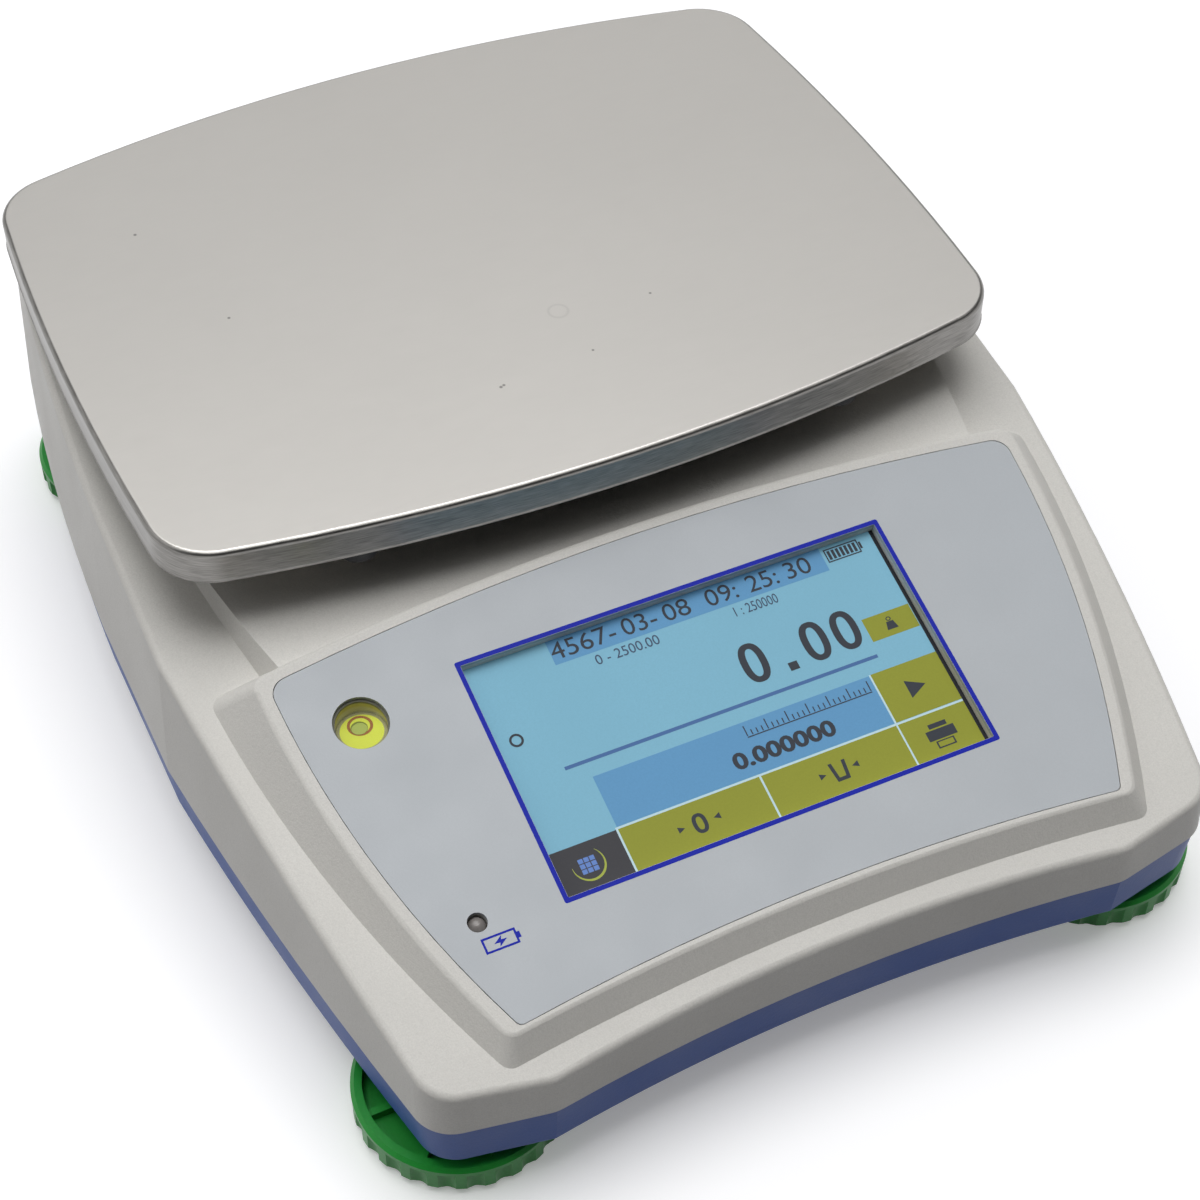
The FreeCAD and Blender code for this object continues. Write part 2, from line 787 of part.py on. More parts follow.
def upper_housing():
    """Moulded shell with deck, plateau, console, bosses, recesses and every opening."""
    outer = housing_form("outer", "0", True)
    walls = outer.Tool.Shape.Shells[0]
    skin = rounded_skin(outer, walls)
    cavity = housing_form("cavity", "housing_wall")
    shell = boolean("Cut", "shell", [skin, cavity])
    posts = columns("posts", HOUSING_SCREWS, "screw_boss", PARTING, "deck_rear_height")
    vial = columns("vial_boss", [("-vial_offset", VIAL_Y)], "vial_radius + vial_wall * 2",
                   VIAL_TOP + " - vial_glass - vial_body + vial_flange", "vial_body + long_over")
    fittings = boolean("MultiFuse", "fittings", [posts, vial, recess_blocks(), display_bosses()])
    inside = boolean("Common", "inside", [fittings, skin])
    collar = columns("collar", [("0", POST_Y)], "collar_radius + collar_wall",
                     "foot_height + plateau_height", "collar_height + 2 * cut_over")
    moulding = boolean("MultiFuse", "moulding", [shell, inside, collar])
    seat = boolean("Cut", "panel_seat", [moulding, panel_form("seat_tool", "0", "long_over / 2")])
    body = new_body("upper_housing")
    body.BaseFeature = seat
    window = console_sketch(body)
    rectangle(window, ("0", "window_middle"), ("window_width", "window_depth"))
    pocket(body, window, "2 * housing_wall")
    lamp = console_sketch(body)
    circle(lamp, ("-lamp_offset", "lamp_middle"), "lamp_radius + thread_clearance")
    pocket(body, lamp, "3 * housing_wall")
    bore = flat_sketch(body, VIAL_TOP + " + long_over")
    circle(bore, ("-vial_offset", VIAL_Y), "vial_radius + thread_clearance")
    pocket(body, bore, "vial_body + 2 * long_over")
    hole = flat_sketch(body, "foot_height + plateau_height + collar_height + long_over")
    circle(hole, ("0", POST_Y), "collar_radius")
    pocket(body, hole, "collar_height + 2 * long_over")
    recess = rear_sketch(body, REAR + " + cut_over")
    for middle, width in (("-recess_offset", "recess_width"), ("recess_offset", "switch_recess_width")):
        rectangle(recess, (middle, RECESS_Z), (width, "recess_height"))
    pocket(body, recess, "recess_depth + cut_over", back=True)
    sockets = rear_sketch(body, REAR)
    circle(sockets, ("-jack_offset", RECESS_Z), "jack_body + fit_clearance")
    rectangle(sockets, ("-serial_offset", RECESS_Z),
              (SERIAL_WIDTH + " + 2 * fit_clearance", SERIAL_HEIGHT + " + 2 * fit_clearance"))
    rectangle(sockets, ("recess_offset", RECESS_Z),
              ("switch_width + 2 * fit_clearance", "switch_height + 2 * fit_clearance"))
    pocket(body, sockets, "recess_depth + housing_wall + cut_over", back=True)
    pilots = flat_sketch(body, PARTING)
    for pair in HOUSING_SCREWS:
        circle(pilots, pair, "screw_radius + thread_clearance / 2")
    pocket(body, pilots, "screw_bite + cut_over", back=True)
    board_pilots = console_sketch(body, CARRIER_DEPTH)
    for spot in BOARD_SCREWS:
        circle(board_pilots, spot, "boss_pilot")
    pocket(body, board_pilots, "carrier_height * 0.8", back=True)
    return keep(body)


def lower_tray():
    """Moulded base with posts, bosses, the battery's compartment and the lip that centres the housing."""
    body = new_body("lower_tray")
    sketch = flat_sketch(body, PARTING)
    outline(sketch, plan_corners("tray_inset"))
    pad(body, sketch, "tray_height", "-tray_draft", back=True)
    doc.recompute()
    fillet(body, "corner_round - tray_inset", lambda e: is_upright(e)
           and abs(e.CenterOfMass.x) > value(BETWEEN_CORNERS)
           and e.CenterOfMass.y < value(FRONT + " + waist_start / 2"))
    fillet(body, "rear_round - tray_inset", lambda e: is_upright(e) and e.CenterOfMass.y > value(BEHIND_WAIST))
    fillet(body, "tray_bottom_round", lambda e: e.BoundBox.ZMax < value("foot_height + tray_height / 20"))
    hollow = flat_sketch(body, PARTING)
    outline(hollow, plan_corners("tray_inset + tray_wall"))
    pocket(body, hollow, "tray_height - tray_floor", "-tray_draft")
    lip = flat_sketch(body, PARTING + " - tray_lip")
    outline(lip, plan_corners("housing_wall + lip_clearance"))
    outline(lip, plan_corners("housing_wall + lip_clearance + lip_thickness"))
    pad(body, lip, "2 * tray_lip")
    posts = flat_sketch(body, FLOOR + " - cut_over")
    for pair in HOUSING_SCREWS:
        circle(posts, pair, "screw_boss")
    pad(body, posts, "tray_height - tray_floor + cut_over")
    bosses = flat_sketch(body, FLOOR + " - cut_over")
    for pair in FEET.values():
        circle(bosses, pair, INSERT_RADIUS + " + insert_boss")
    pad(body, bosses, "insert_length")
    chassis_posts = flat_sketch(body, FLOOR + " - cut_over")
    for pair in CHASSIS_SCREWS:
        circle(chassis_posts, pair, "screw_boss * 1.25")
    pad(body, chassis_posts, "chassis_height - tray_floor + cut_over")
    board_posts = flat_sketch(body, FLOOR + " - cut_over")
    for pair in MAIN_BOARD_SCREWS:
        circle(board_posts, pair, "boss_radius")
    pad(body, board_posts, "main_board_height - tray_floor + cut_over")
    compartment = flat_sketch(body, FLOOR + " - cut_over")
    rectangle(compartment, ("0", BATTERY_Y), (DOOR_OPENING_X + " + 2 * compartment_wall",
                                              DOOR_OPENING_Y + " + 2 * compartment_wall"))
    for pair in DOOR_SCREWS:
        circle(compartment, pair, "boss_radius")
    pad(body, compartment, "compartment_height")
    opening = flat_sketch(body, "foot_height")
    rectangle(opening, ("0", BATTERY_Y), (DOOR_OPENING_X, DOOR_OPENING_Y))
    pocket(body, opening, "tray_height + compartment_height", both=True)
    rebate = flat_sketch(body, "foot_height")
    rectangle(rebate, ("0", BATTERY_Y),
              (DOOR_OPENING_X + " + 2 * door_margin", DOOR_OPENING_Y + " + 2 * door_lap"))
    pocket(body, rebate, "2 * door_thickness", both=True)
    holes = flat_sketch(body, "foot_height")
    for pair in HOUSING_SCREWS:
        circle(holes, pair, "screw_radius + thread_clearance")
    for pair in FEET.values():
        circle(holes, pair, INSERT_RADIUS)
    pocket(body, holes, "2 * (tray_height + cut_over)", both=True)
    heads = flat_sketch(body, "foot_height")
    for pair in HOUSING_SCREWS:
        circle(heads, pair, "screw_head + fit_clearance")
    pocket(body, heads, "2 * screw_grip", both=True)
    pilots = flat_sketch(body, "foot_height + tray_height")
    for pair in CHASSIS_SCREWS + MAIN_BOARD_SCREWS:
        circle(pilots, pair, "screw_radius + thread_clearance / 2")
    pocket(body, pilots, "tray_height - tray_floor")
    door_pilots = flat_sketch(body, "foot_height + door_thickness")
    for pair in DOOR_SCREWS:
        circle(door_pilots, pair, "screw_radius + thread_clearance / 2")
    pocket(body, door_pilots, "door_bite + cut_over", back=True)
    return keep(body)


def front_panel():
    """Thin panel over the console, with the window and the holes for vial and lamp."""
    body = panel_form("front_panel", "panel_gap", "0")
    openings = console_sketch(body)
    rectangle(openings, ("0", "window_middle"), ("window_width", "window_depth"))
    circle(openings, ("-vial_offset", "vial_middle"), "vial_hole")
    circle(openings, ("-lamp_offset", "lamp_middle"), "lamp_radius + thread_clearance")
    pocket(body, openings, "2 * panel_thickness")
    return keep(body)


def touch_screen():
    """Clear touch layer that lies against the underside of the console."""
    body = new_body("touch_screen")
    sketch = console_sketch(body, "housing_wall + touch_thickness")
    rectangle(sketch, ("0", "window_middle"),
              ("window_width + 2 * touch_border", "window_depth + 2 * touch_border"))
    pad(body, sketch, "touch_thickness")
    return keep(body)


def lcd_module():
    """Display with its metal frame and the sunk picture area."""
    body = new_body("lcd_module")
    sketch = console_sketch(body, "housing_wall + touch_thickness + display_thickness")
    rectangle(sketch, ("0", "window_middle"), ("display_width", "display_depth"))
    pad(body, sketch, "display_thickness")
    picture = console_sketch(body, "housing_wall + touch_thickness")
    rectangle(picture, ("0", "window_middle"),
              ("window_width + touch_thickness / 2", "window_depth + touch_thickness / 2"))
    pocket(body, picture, "display_thickness / 10")
    return keep(body)


def display_frame():
    """Carrier that holds the touch layer and the display against the console."""
    body = new_body("display_frame")
    sketch = console_sketch(body, CARRIER_DEPTH)
    rectangle(sketch, ("0", "window_middle"), (CARRIER_WIDTH, CARRIER_BREADTH))
    pad(body, sketch, "carrier_height")
    bed = console_sketch(body, "housing_wall")
    rectangle(bed, ("0", "window_middle"),
              ("display_width + 2 * fit_clearance", "display_depth + 2 * fit_clearance"))
    pocket(body, bed, "touch_thickness + display_thickness")
    through = console_sketch(body, "housing_wall")
    rectangle(through, ("0", "window_middle"),
              ("display_width - 2 * carrier_ledge", "display_depth - 2 * carrier_ledge"))
    pocket(body, through, "2 * carrier_height")
    return keep(body)


def display_board():
    """Circuit board behind the display, with a tab that carries the charge lamp."""
    body = new_body("display_board")
    sketch = console_sketch(body, CARRIER_DEPTH + " + board_thickness")
    edge = BOSS_X + " + boss_radius"
    low, high = "window_middle - display_depth / 2", "window_middle + display_depth / 2"
    tab_low, tab_high = "lamp_middle - board_tab / 2", "lamp_middle + board_tab / 2"
    tab_edge = "-lamp_offset - lamp_radius * 2"
    outline(sketch, [
        (edge, low), (edge, high), ("-(%s)" % edge, high), ("-(%s)" % edge, tab_high),
        (tab_edge, tab_high), (tab_edge, tab_low), ("-(%s)" % edge, tab_low), ("-(%s)" % edge, low),
    ])
    for spot in BOARD_SCREWS:
        circle(sketch, spot, "boss_pilot + thread_clearance")
    pad(body, sketch, "board_thickness")
    chips = console_sketch(body, CARRIER_DEPTH + " + board_thickness + chip_height")
    rectangle(chips, ("0", "window_middle"), ("chip_width", "chip_width"))
    rectangle(chips, ("display_width / 4", "window_middle"), ("chip_width / 2", "chip_width * 0.8"))
    rectangle(chips, ("-display_width / 4", "window_middle + display_depth / 4"),
              ("chip_width * 1.5", "chip_width / 3"))
    pad(body, chips, "chip_height + board_thickness / 2")
    return keep(body)


def level_vial():
    """Round bubble level: a cup with a flange, the liquid and the glass on top."""
    bottom = VIAL_TOP + " - vial_glass - vial_body"
    inner = "vial_radius - vial_wall"
    cup = new_body("vial_cup")
    turned(cup, [
        ("0", "0"), ("vial_radius + 2 * vial_wall", "0"), ("vial_radius + 2 * vial_wall", "vial_flange"),
        ("vial_radius", "vial_flange"), ("vial_radius", "vial_body"), (inner, "vial_body"),
        (inner, "vial_flange"), ("0", "vial_flange"),
    ])
    liquid = new_body("vial_liquid")
    turned(liquid, [("0", "vial_flange"), (inner, "vial_flange"), (inner, "vial_body"), ("0", "vial_body")])
    glass = new_body("vial_lens")
    turned(glass, [
        ("0", "vial_body"), ("vial_radius", "vial_body"), ("vial_radius", "vial_body + vial_glass / 2"),
        ("vial_radius - vial_glass / 2", "vial_body + vial_glass"), ("0", "vial_body + vial_glass"),
    ])
    for body in (cup, liquid, glass):
        place(body, ("-vial_offset", VIAL_Y, bottom))
        keep(body)


def charge_lamp():
    """Small domed lamp that stands on the display board."""
    body = new_body("charge_lamp")
    sketch = console_sketch(body, CARRIER_DEPTH)
    circle(sketch, ("-lamp_offset", "lamp_middle"), "lamp_radius")
    pad(body, sketch, CARRIER_DEPTH + " - lamp_drop")
    fillet(body, "lamp_radius * 0.9",
           lambda e: e.CenterOfMass.z > console_point(0, value("lamp_middle"), value("housing_wall")).z)
    collar = console_sketch(body, CARRIER_DEPTH)
    circle(collar, ("-lamp_offset", "lamp_middle"), "lamp_radius * 1.3")
    pad(body, collar, "carrier_height / 2")
    return keep(body)


def weighing_pan():
    """Pressed sheet pan with bowed edges, a rounded rim and a skirt."""
    body = new_body("weighing_pan")
    sketch = flat_sketch(body, PAN_TOP + " - pan_skirt")
    corners = mirrored([
        ("pan_front_half", PAN_FRONT, ("0", PAN_FRONT + " - pan_front_bow")),
        ("pan_rear_half", PAN_FRONT + " + pan_depth",
         ("(pan_front_half + pan_rear_half) / 2 + pan_side_bow", PAN_FRONT + " + pan_depth / 2")),
    ])
    corners[2] += (("0", PAN_FRONT + " + pan_depth + pan_rear_bow"),)
    outline(sketch, corners)
    pad(body, sketch, "pan_skirt")
    doc.recompute()
    fillet(body, "pan_round", is_upright)
    top = value(PAN_TOP)
    fillet(body, "pan_edge_round", lambda e: e.BoundBox.ZMin > top - NEAR)
    faces = ["Face%d" % number for number, face in enumerate(body.Tip.Shape.Faces, 1)
             if face.BoundBox.ZMax < top - value("pan_skirt") + NEAR]
    hollow = body.newObject("PartDesign::Thickness", "Thickness")
    hollow.Base = (body.Group[-2], faces)
    hollow.setExpression("Value", formula("pan_sheet"))
    hollow.Reversed = True
    doc.recompute()
    return keep(body)


def pan_support():
    """Cast frame under the pan: four arms with round tips, a spine and the post down to the load cell."""
    body = new_body("pan_support")
    low = SUPPORT_TOP + " - support_thickness"
    half = "support_width / 2"
    neck = "post_width / 2"
    bend = neck + " + support_reach / 4"
    sketch = flat_sketch(body, low)
    outline(sketch, mirrored([
        ("support_reach", SUPPORT_FRONT + " - " + half),
        ("support_reach", SUPPORT_FRONT + " + " + half),
        (neck, SUPPORT_FRONT + " + post_width", (bend, SUPPORT_FRONT + " + support_width * 0.9")),
        (neck, SUPPORT_REAR + " - post_width"),
        ("support_reach", SUPPORT_REAR + " - " + half, (bend, SUPPORT_REAR + " - support_width * 0.9")),
        ("support_reach", SUPPORT_REAR + " + " + half),
    ]))
    pad(body, sketch, "support_thickness")
    tips = flat_sketch(body, low)
    for pair in CUSHIONS:
        circle(tips, pair, half)
    pad(body, tips, "support_thickness")
    bosses = flat_sketch(body, low + " - tip_boss_drop")
    for sign in ("-", ""):
        circle(bosses, (sign + "support_reach", SUPPORT_FRONT), "tip_boss_radius")
    pad(body, bosses, "tip_boss_drop + support_thickness / 2")
    post = flat_sketch(body, CELL_TOP)
    rectangle(post, ("0", POST_Y), ("post_width", "post_width"))
    pad(body, post, "(" + SUPPORT_TOP + ") - (" + CELL_TOP + ") - support_thickness / 2")
    ribs = flat_sketch(body, SUPPORT_TOP + " - support_thickness / 2")
    halfway = "(%s + %s) / 2" % (SUPPORT_FRONT, SUPPORT_REAR)
    for sign in "+-":
        rectangle(ribs, (sign + "(post_width / 2 - support_rib)", halfway), ("support_rib", "pan_depth / 2"))
    pad(body, ribs, "support_thickness / 2 + support_rib")
    bolts = flat_sketch(body, SUPPORT_TOP)
    for pair in FRONT_BOLTS:
        circle(bolts, pair, "bolt_radius + thread_clearance")
    for pair in CUSHIONS:
        circle(bolts, pair, "stem_radius + thread_clearance")
    pocket(body, bolts, "foot_height + pan_height")
    return keep(body)


def load_cell():
    """Aluminium bar load cell with its dog-bone hole and the threaded seats at both ends."""
    body = new_body("load_cell")
    sketch = flat_sketch(body, CELL_BOTTOM)
    rectangle(sketch, ("0", PAN_MIDDLE), ("cell_width", "cell_length"))
    pad(body, sketch, "cell_height")
    side = new_sketch(body, "YZ_Plane")
    middle = "(%s) + cell_height / 2" % CELL_BOTTOM
    left, right = PAN_MIDDLE + " - cell_hole_spacing / 2", PAN_MIDDLE + " + cell_hole_spacing / 2"
    lean = "cell_hole_radius * 0.6"
    rise = "cell_hole_radius * 0.8"
    outline(side, [
        (left + " + " + lean, middle + " - " + rise, (left + " - cell_hole_radius", middle)),
        (right + " - " + lean, middle + " - " + rise),
        (right + " - " + lean, middle + " + " + rise, (right + " + cell_hole_radius", middle)),
        (left + " + " + lean, middle + " + " + rise),
    ])
    pocket(body, side, "2 * cell_width", both=True)
    threads = flat_sketch(body, CELL_TOP)
    for pair in FRONT_BOLTS + REAR_BOLTS:
        circle(threads, pair, "bolt_radius + thread_clearance / 2")
    pocket(body, threads, "cell_height + cut_over")
    return keep(body)


def block_with_bolts(label, middle, size, low, height, pairs, hole):
    """Make a plain block with bolt holes through it."""
    body = new_body(label)
    sketch = flat_sketch(body, low)
    rectangle(sketch, middle, size)
    for pair in pairs:
        circle(sketch, pair, hole)
    pad(body, sketch, height)
    return keep(body)


def chassis_plate():
    """Stiff plate on the tray's posts that carries the load cell, with a raised edge."""
    body = new_body("chassis_plate")
    sketch = flat_sketch(body, "foot_height + chassis_height")
    rectangle(sketch, ("0", CHASSIS_Y), ("chassis_width", "chassis_length"))
    for pair in REAR_BOLTS + [("0", STOP_Y)]:
        circle(sketch, pair, "bolt_radius + thread_clearance")
    for pair in CHASSIS_SCREWS:
        circle(sketch, pair, "screw_radius + thread_clearance")
    pad(body, sketch, "chassis_thickness")
    doc.recompute()
    fillet(body, "chassis_round", lambda e: is_upright(e)
           and abs(e.CenterOfMass.x) > value("chassis_width / 2") - NEAR)
    edge = flat_sketch(body, "foot_height + chassis_height")
    for inset in ("chassis_rim_inset", "(chassis_rim_inset + support_rib)"):
        rectangle(edge, ("0", CHASSIS_Y), ("chassis_width - 2 * " + inset, "chassis_length - 2 * " + inset))
    pad(body, edge, "chassis_thickness + support_rib")
    return keep(body)


def overload_stop():
    """Stop screw with its nut under the free end of the load cell."""
    body = new_body("overload_stop")
    low = "-chassis_thickness"
    top = "spacer_height - stop_gap"
    turned(body, [
        ("0", low), ("bolt_radius", low), ("bolt_radius", "0"), ("bolt_radius * 1.8", "0"),
        ("bolt_radius * 1.8", "bolt_radius * 1.6"), ("bolt_radius", "bolt_radius * 1.6"),
        ("bolt_radius", top), ("0", top),
    ])
    place(body, ("0", STOP_Y, CHASSIS_TOP))
    return keep(body)


def main_board():
    """Circuit board with its larger parts, on posts at the left of the load cell."""
    body = new_body("main_board")
    low = "foot_height + main_board_height"
    sketch = flat_sketch(body, low)
    rectangle(sketch, ("-main_board_offset", BOARD_Y), ("main_board_width", "main_board_length"))
    for pair in MAIN_BOARD_SCREWS:
        circle(sketch, pair, "screw_radius + thread_clearance")
    pad(body, sketch, "board_thickness")
    chips = flat_sketch(body, low + " + board_thickness / 2")
    for across, along, width, length in MAIN_CHIPS:
        middle = ("-main_board_offset + main_board_width * %s" % across,
                  BOARD_Y + " + main_board_length * %s" % along)
        rectangle(chips, middle, ("main_board_width * %s" % width, "main_board_length * %s" % length))
    pad(body, chips, "board_thickness / 2 + 2 * chip_height")
    return keep(body)


def battery_pack():
    """Two round cells side by side in one wrap."""
    body = new_body("battery_pack")
    sketch = new_sketch(body, "YZ_Plane")
    middle = FLOOR + " + battery_cell_radius + fit_clearance"
    radius = "battery_cell_radius"
    outline(sketch, [
        (BATTERY_Y + " + " + radius, middle + " - " + radius),
        (BATTERY_Y + " + " + radius, middle + " + " + radius, (BATTERY_Y + " + 2 * " + radius, middle)),
        (BATTERY_Y + " - " + radius, middle + " + " + radius),
        (BATTERY_Y + " - " + radius, middle + " - " + radius, (BATTERY_Y + " - 2 * " + radius, middle)),
    ])
    pad(body, sketch, "battery_length", both=True)
    return keep(body)


def battery_door():
    """Flush cover of the battery compartment, with ribs that keep the pack in place."""
    body = new_body("battery_door")
    sketch = flat_sketch(body, "foot_height")
    rectangle(sketch, ("0", BATTERY_Y), (DOOR_OPENING_X + " + 2 * door_margin - 2 * fit_clearance",
                                         DOOR_OPENING_Y + " + 2 * door_lap - 2 * fit_clearance"))
    for pair in DOOR_SCREWS:
        circle(sketch, pair, "screw_radius + thread_clearance")
    pad(body, sketch, "door_thickness")
    ribs = flat_sketch(body, "foot_height + door_thickness / 2")
    for sign in "+-":
        rectangle(ribs, (sign + " battery_length / 4", BATTERY_Y),
                  ("support_rib", DOOR_OPENING_Y + " - battery_play"))
    pad(body, ribs, "door_thickness / 2 + tray_floor - door_thickness")
    heads = flat_sketch(body, "foot_height")
    for pair in DOOR_SCREWS:
        circle(heads, pair, "screw_head + fit_clearance")
    pocket(body, heads, "door_thickness / 2", back=True)
    return keep(body)


def dc_jack():
    """Round power socket with a flange, a bore and its centre pin."""
    body = new_body("dc_jack")
    flange = rear_sketch(body, RECESS_Y)
    circle(flange, ("-jack_offset", RECESS_Z), "jack_body + socket_flange")
    pad(body, flange, "socket_flange", back=True)
    barrel = rear_sketch(body, RECESS_Y + " + socket_flange")
    circle(barrel, ("-jack_offset", RECESS_Z), "jack_body")
    pad(body, barrel, "socket_flange + socket_depth")
    bore = rear_sketch(body, RECESS_Y + " + socket_flange")
    circle(bore, ("-jack_offset", RECESS_Z), "jack_bore")
    circle(bore, ("-jack_offset", RECESS_Z), "jack_bore * 0.36")
    pocket(body, bore, "socket_depth * 0.8", back=True)
    return keep(body)


def serial_port():
    """Nine-way D connector: flange, tapered shell, insert with its holes, body and two jack posts."""
    body = new_body("serial_port")
    flange = rear_sketch(body, RECESS_Y)
    rectangle(flange, ("-serial_offset", RECESS_Z),
              ("2 * (serial_half + serial_ear)", "serial_half + serial_brim"))
    pad(body, flange, "socket_flange / 2", back=True)
    wide, narrow, rise = "(serial_half)", "(serial_half - serial_slant)", "(serial_half / 2)"
    shell = rear_sketch(body, RECESS_Y)
    outline(shell, [
        ("-serial_offset + " + narrow, RECESS_Z + " - " + rise),
        ("-serial_offset + " + wide, RECESS_Z + " + " + rise),
        ("-serial_offset - " + wide, RECESS_Z + " + " + rise),
        ("-serial_offset - " + narrow, RECESS_Z + " - " + rise),
    ])
    pad(body, shell, "recess_depth - cut_over", back=True)
    rear = rear_sketch(body, RECESS_Y)
    rectangle(rear, ("-serial_offset", RECESS_Z), (SERIAL_WIDTH, SERIAL_HEIGHT))
    pad(body, rear, "socket_depth * 0.7")
    jacks = rear_sketch(body, RECESS_Y)
    for sign in "+-":
        circle(jacks, ("-serial_offset %s (serial_half + serial_jack_spread)" % sign, RECESS_Z), "bolt_radius")
    pad(body, jacks, "recess_depth - 1.5 * cut_over", back=True)
    pins = rear_sketch(body, RECESS_Y + " + recess_depth - cut_over")
    for count, height in ((5, "serial_slant"), (4, "-serial_slant")):
        for step in range(count):
            shift = "%g * serial_pitch" % (step - (count - 1) / 2)
            circle(pins, ("-serial_offset + " + shift, RECESS_Z + " + " + height), "serial_pitch / 5")
    pocket(body, pins, "recess_depth - 2 * cut_over", back=True)
    return keep(body)


def power_switch():
    """Rocker switch body with its bezel and the hollow that the rocker tips in."""
    body = new_body("power_switch")
    bezel = rear_sketch(body, RECESS_Y)
    rectangle(bezel, ("recess_offset", RECESS_Z),
              ("switch_width + 2 * switch_rim", "switch_height + 2 * switch_rim"))
    pad(body, bezel, "socket_flange", back=True)
    case = rear_sketch(body, RECESS_Y + " + socket_flange / 2")
    rectangle(case, ("recess_offset", RECESS_Z), ("switch_width", "switch_height"))
    pad(body, case, "switch_depth")
    hollow = rear_sketch(body, RECESS_Y + " + socket_flange")
    rectangle(hollow, ("recess_offset", RECESS_Z),
              ("switch_width - 2 * switch_shell", "switch_height - 2 * switch_shell"))
    pocket(body, hollow, "switch_depth * 0.65", back=True)
    return keep(body)


def power_rocker():
    """Rocker with a shallow V face, tipped to its off side about an upright axis."""
    body = new_body("power_rocker")
    sketch = new_sketch(body)
    half = "(switch_width / 2 - switch_shell - hub_clearance)"
    outline(sketch, [
        ("0", "-rocker_depth"), (half + " * 0.9", "-rocker_depth * 0.6"), (half, "rocker_lip"),
        ("-" + half, "rocker_lip", ("0", "rocker_lip * 0.3")), ("-" + half + " * 0.9", "-rocker_depth * 0.6"),
    ])
    pad(body, sketch, "switch_height - 2 * (switch_shell + hub_clearance)", both=True)
    tilt = FreeCAD.Rotation(Vector(0, 0, 1), 10)
    body.Placement = FreeCAD.Placement(Vector(), tilt)
    body.setExpression("Placement.Rotation.Angle", formula("rocker_angle / 2"))
    place(body, ("recess_offset", RECESS_Y + " + socket_flange / 2", RECESS_Z))
    return keep(body)


def foot_wheel(name, spot):
    """Thumbwheel: open cup with a gripped rim, radial ribs and a hub."""
    body = new_body(name + "_wheel")
    web = "pad_height + pad_clearance + wheel_web"
    turned(body, [
        ("pad_radius + pad_clearance", "wheel_bottom"), ("wheel_radius - edge_chamfer", "wheel_bottom"),
        ("wheel_radius", "wheel_bottom + edge_chamfer"), ("wheel_radius", "wheel_top - edge_chamfer"),
        ("wheel_radius - edge_chamfer", "wheel_top"), ("wheel_radius - wheel_rim", "wheel_top"),
        ("wheel_radius - wheel_rim", web), ("wheel_hub", web), ("wheel_hub", "foot_height - hub_clearance"),
        (STUD_BORE, "foot_height - hub_clearance"), (STUD_BORE, "pad_height + pad_clearance"),
        ("pad_radius + pad_clearance", "pad_height + pad_clearance"),
    ])
    rib = flat_sketch(body, web + " - wheel_web / 2")
    rectangle(rib, ("(wheel_hub + wheel_radius) / 2", "0"),
              ("wheel_radius - wheel_hub - wheel_rim / 2", "wheel_rib"))
    rib_pad = pad(body, rib, "wheel_top - edge_chamfer - (" + web + ") + wheel_web / 2")
    pattern(body, rib_pad, "wheel_ribs", rib)
    grip = flat_sketch(body, "wheel_top - grip_lip")
    circle(grip, ("wheel_radius + scallop_shift", "0"), "scallop_radius")
    notch = pocket(body, grip, "wheel_top")
    pattern(body, notch, "scallop_count", grip)
    place(body, spot + ("0",))
    return keep(body)


def pattern(body, feature, count, sketch):
    """Repeat a feature round the body's Z axis."""
    doc.recompute()
    ring = body.newObject("PartDesign::PolarPattern", "PolarPattern")
    ring.Originals = [feature]
    ring.Axis = (sketch, ["N_Axis"])
    ring.Angle = 360
    ring.setExpression("Occurrences", formula(count))
    body.Tip = ring
    doc.recompute()


def foot_stud(name, spot):
    """Steel stud in the wheel's hub, with a chamfered top and the socket for the pad's pin."""
    body = new_body(name + "_stud")
    low = "pad_height + pad_clearance"
    top = "foot_height + stud_reach"
    turned(body, [
        ("pin_radius + thread_clearance", low), ("stud_radius", low), ("stud_radius", top + " - edge_chamfer"),
        ("stud_radius - edge_chamfer", top), ("0", top), ("0", "pad_height + pin_height + pad_clearance"),
        ("pin_radius + thread_clearance", "pad_height + pin_height + pad_clearance"),
    ])
    place(body, spot + ("0",))
    return keep(body)


def foot_pad(name, spot):
    """Rubber pad on the bench, with the pin that centres it in the stud."""
    body = new_body(name + "_pad")
    turned(body, [
        ("0", "0"), ("pad_radius - edge_chamfer", "0"), ("pad_radius", "edge_chamfer"),
        ("pad_radius", "pad_height"), ("pin_radius", "pad_height"),
        ("pin_radius", "pad_height + pin_height"), ("0", "pad_height + pin_height"),
    ])
    place(body, spot + ("0",))
    return keep(body)


def foot_insert():
    """Threaded sleeve that is pressed into the tray for one foot."""
    body = new_body("insert")
    turned(body, [
        ("stud_radius + thread_clearance", "0"), (INSERT_RADIUS, "0"), (INSERT_RADIUS, "insert_length"),
        ("stud_radius + thread_clearance", "insert_length"),
    ])
    return body


def cushion():
    """Rubber cushion with a stem that snaps into the pan support."""
    body = new_body("cushion")
    turned(body, [
        ("0", "-support_thickness"), ("stem_radius", "-support_thickness"), ("stem_radius", "0"),
        ("cushion_radius", "0"), ("cushion_radius", "cushion_height - cushion_chamfer"),
        ("cushion_radius - cushion_chamfer", "cushion_height"), ("0", "cushion_height"),
    ])
    return body


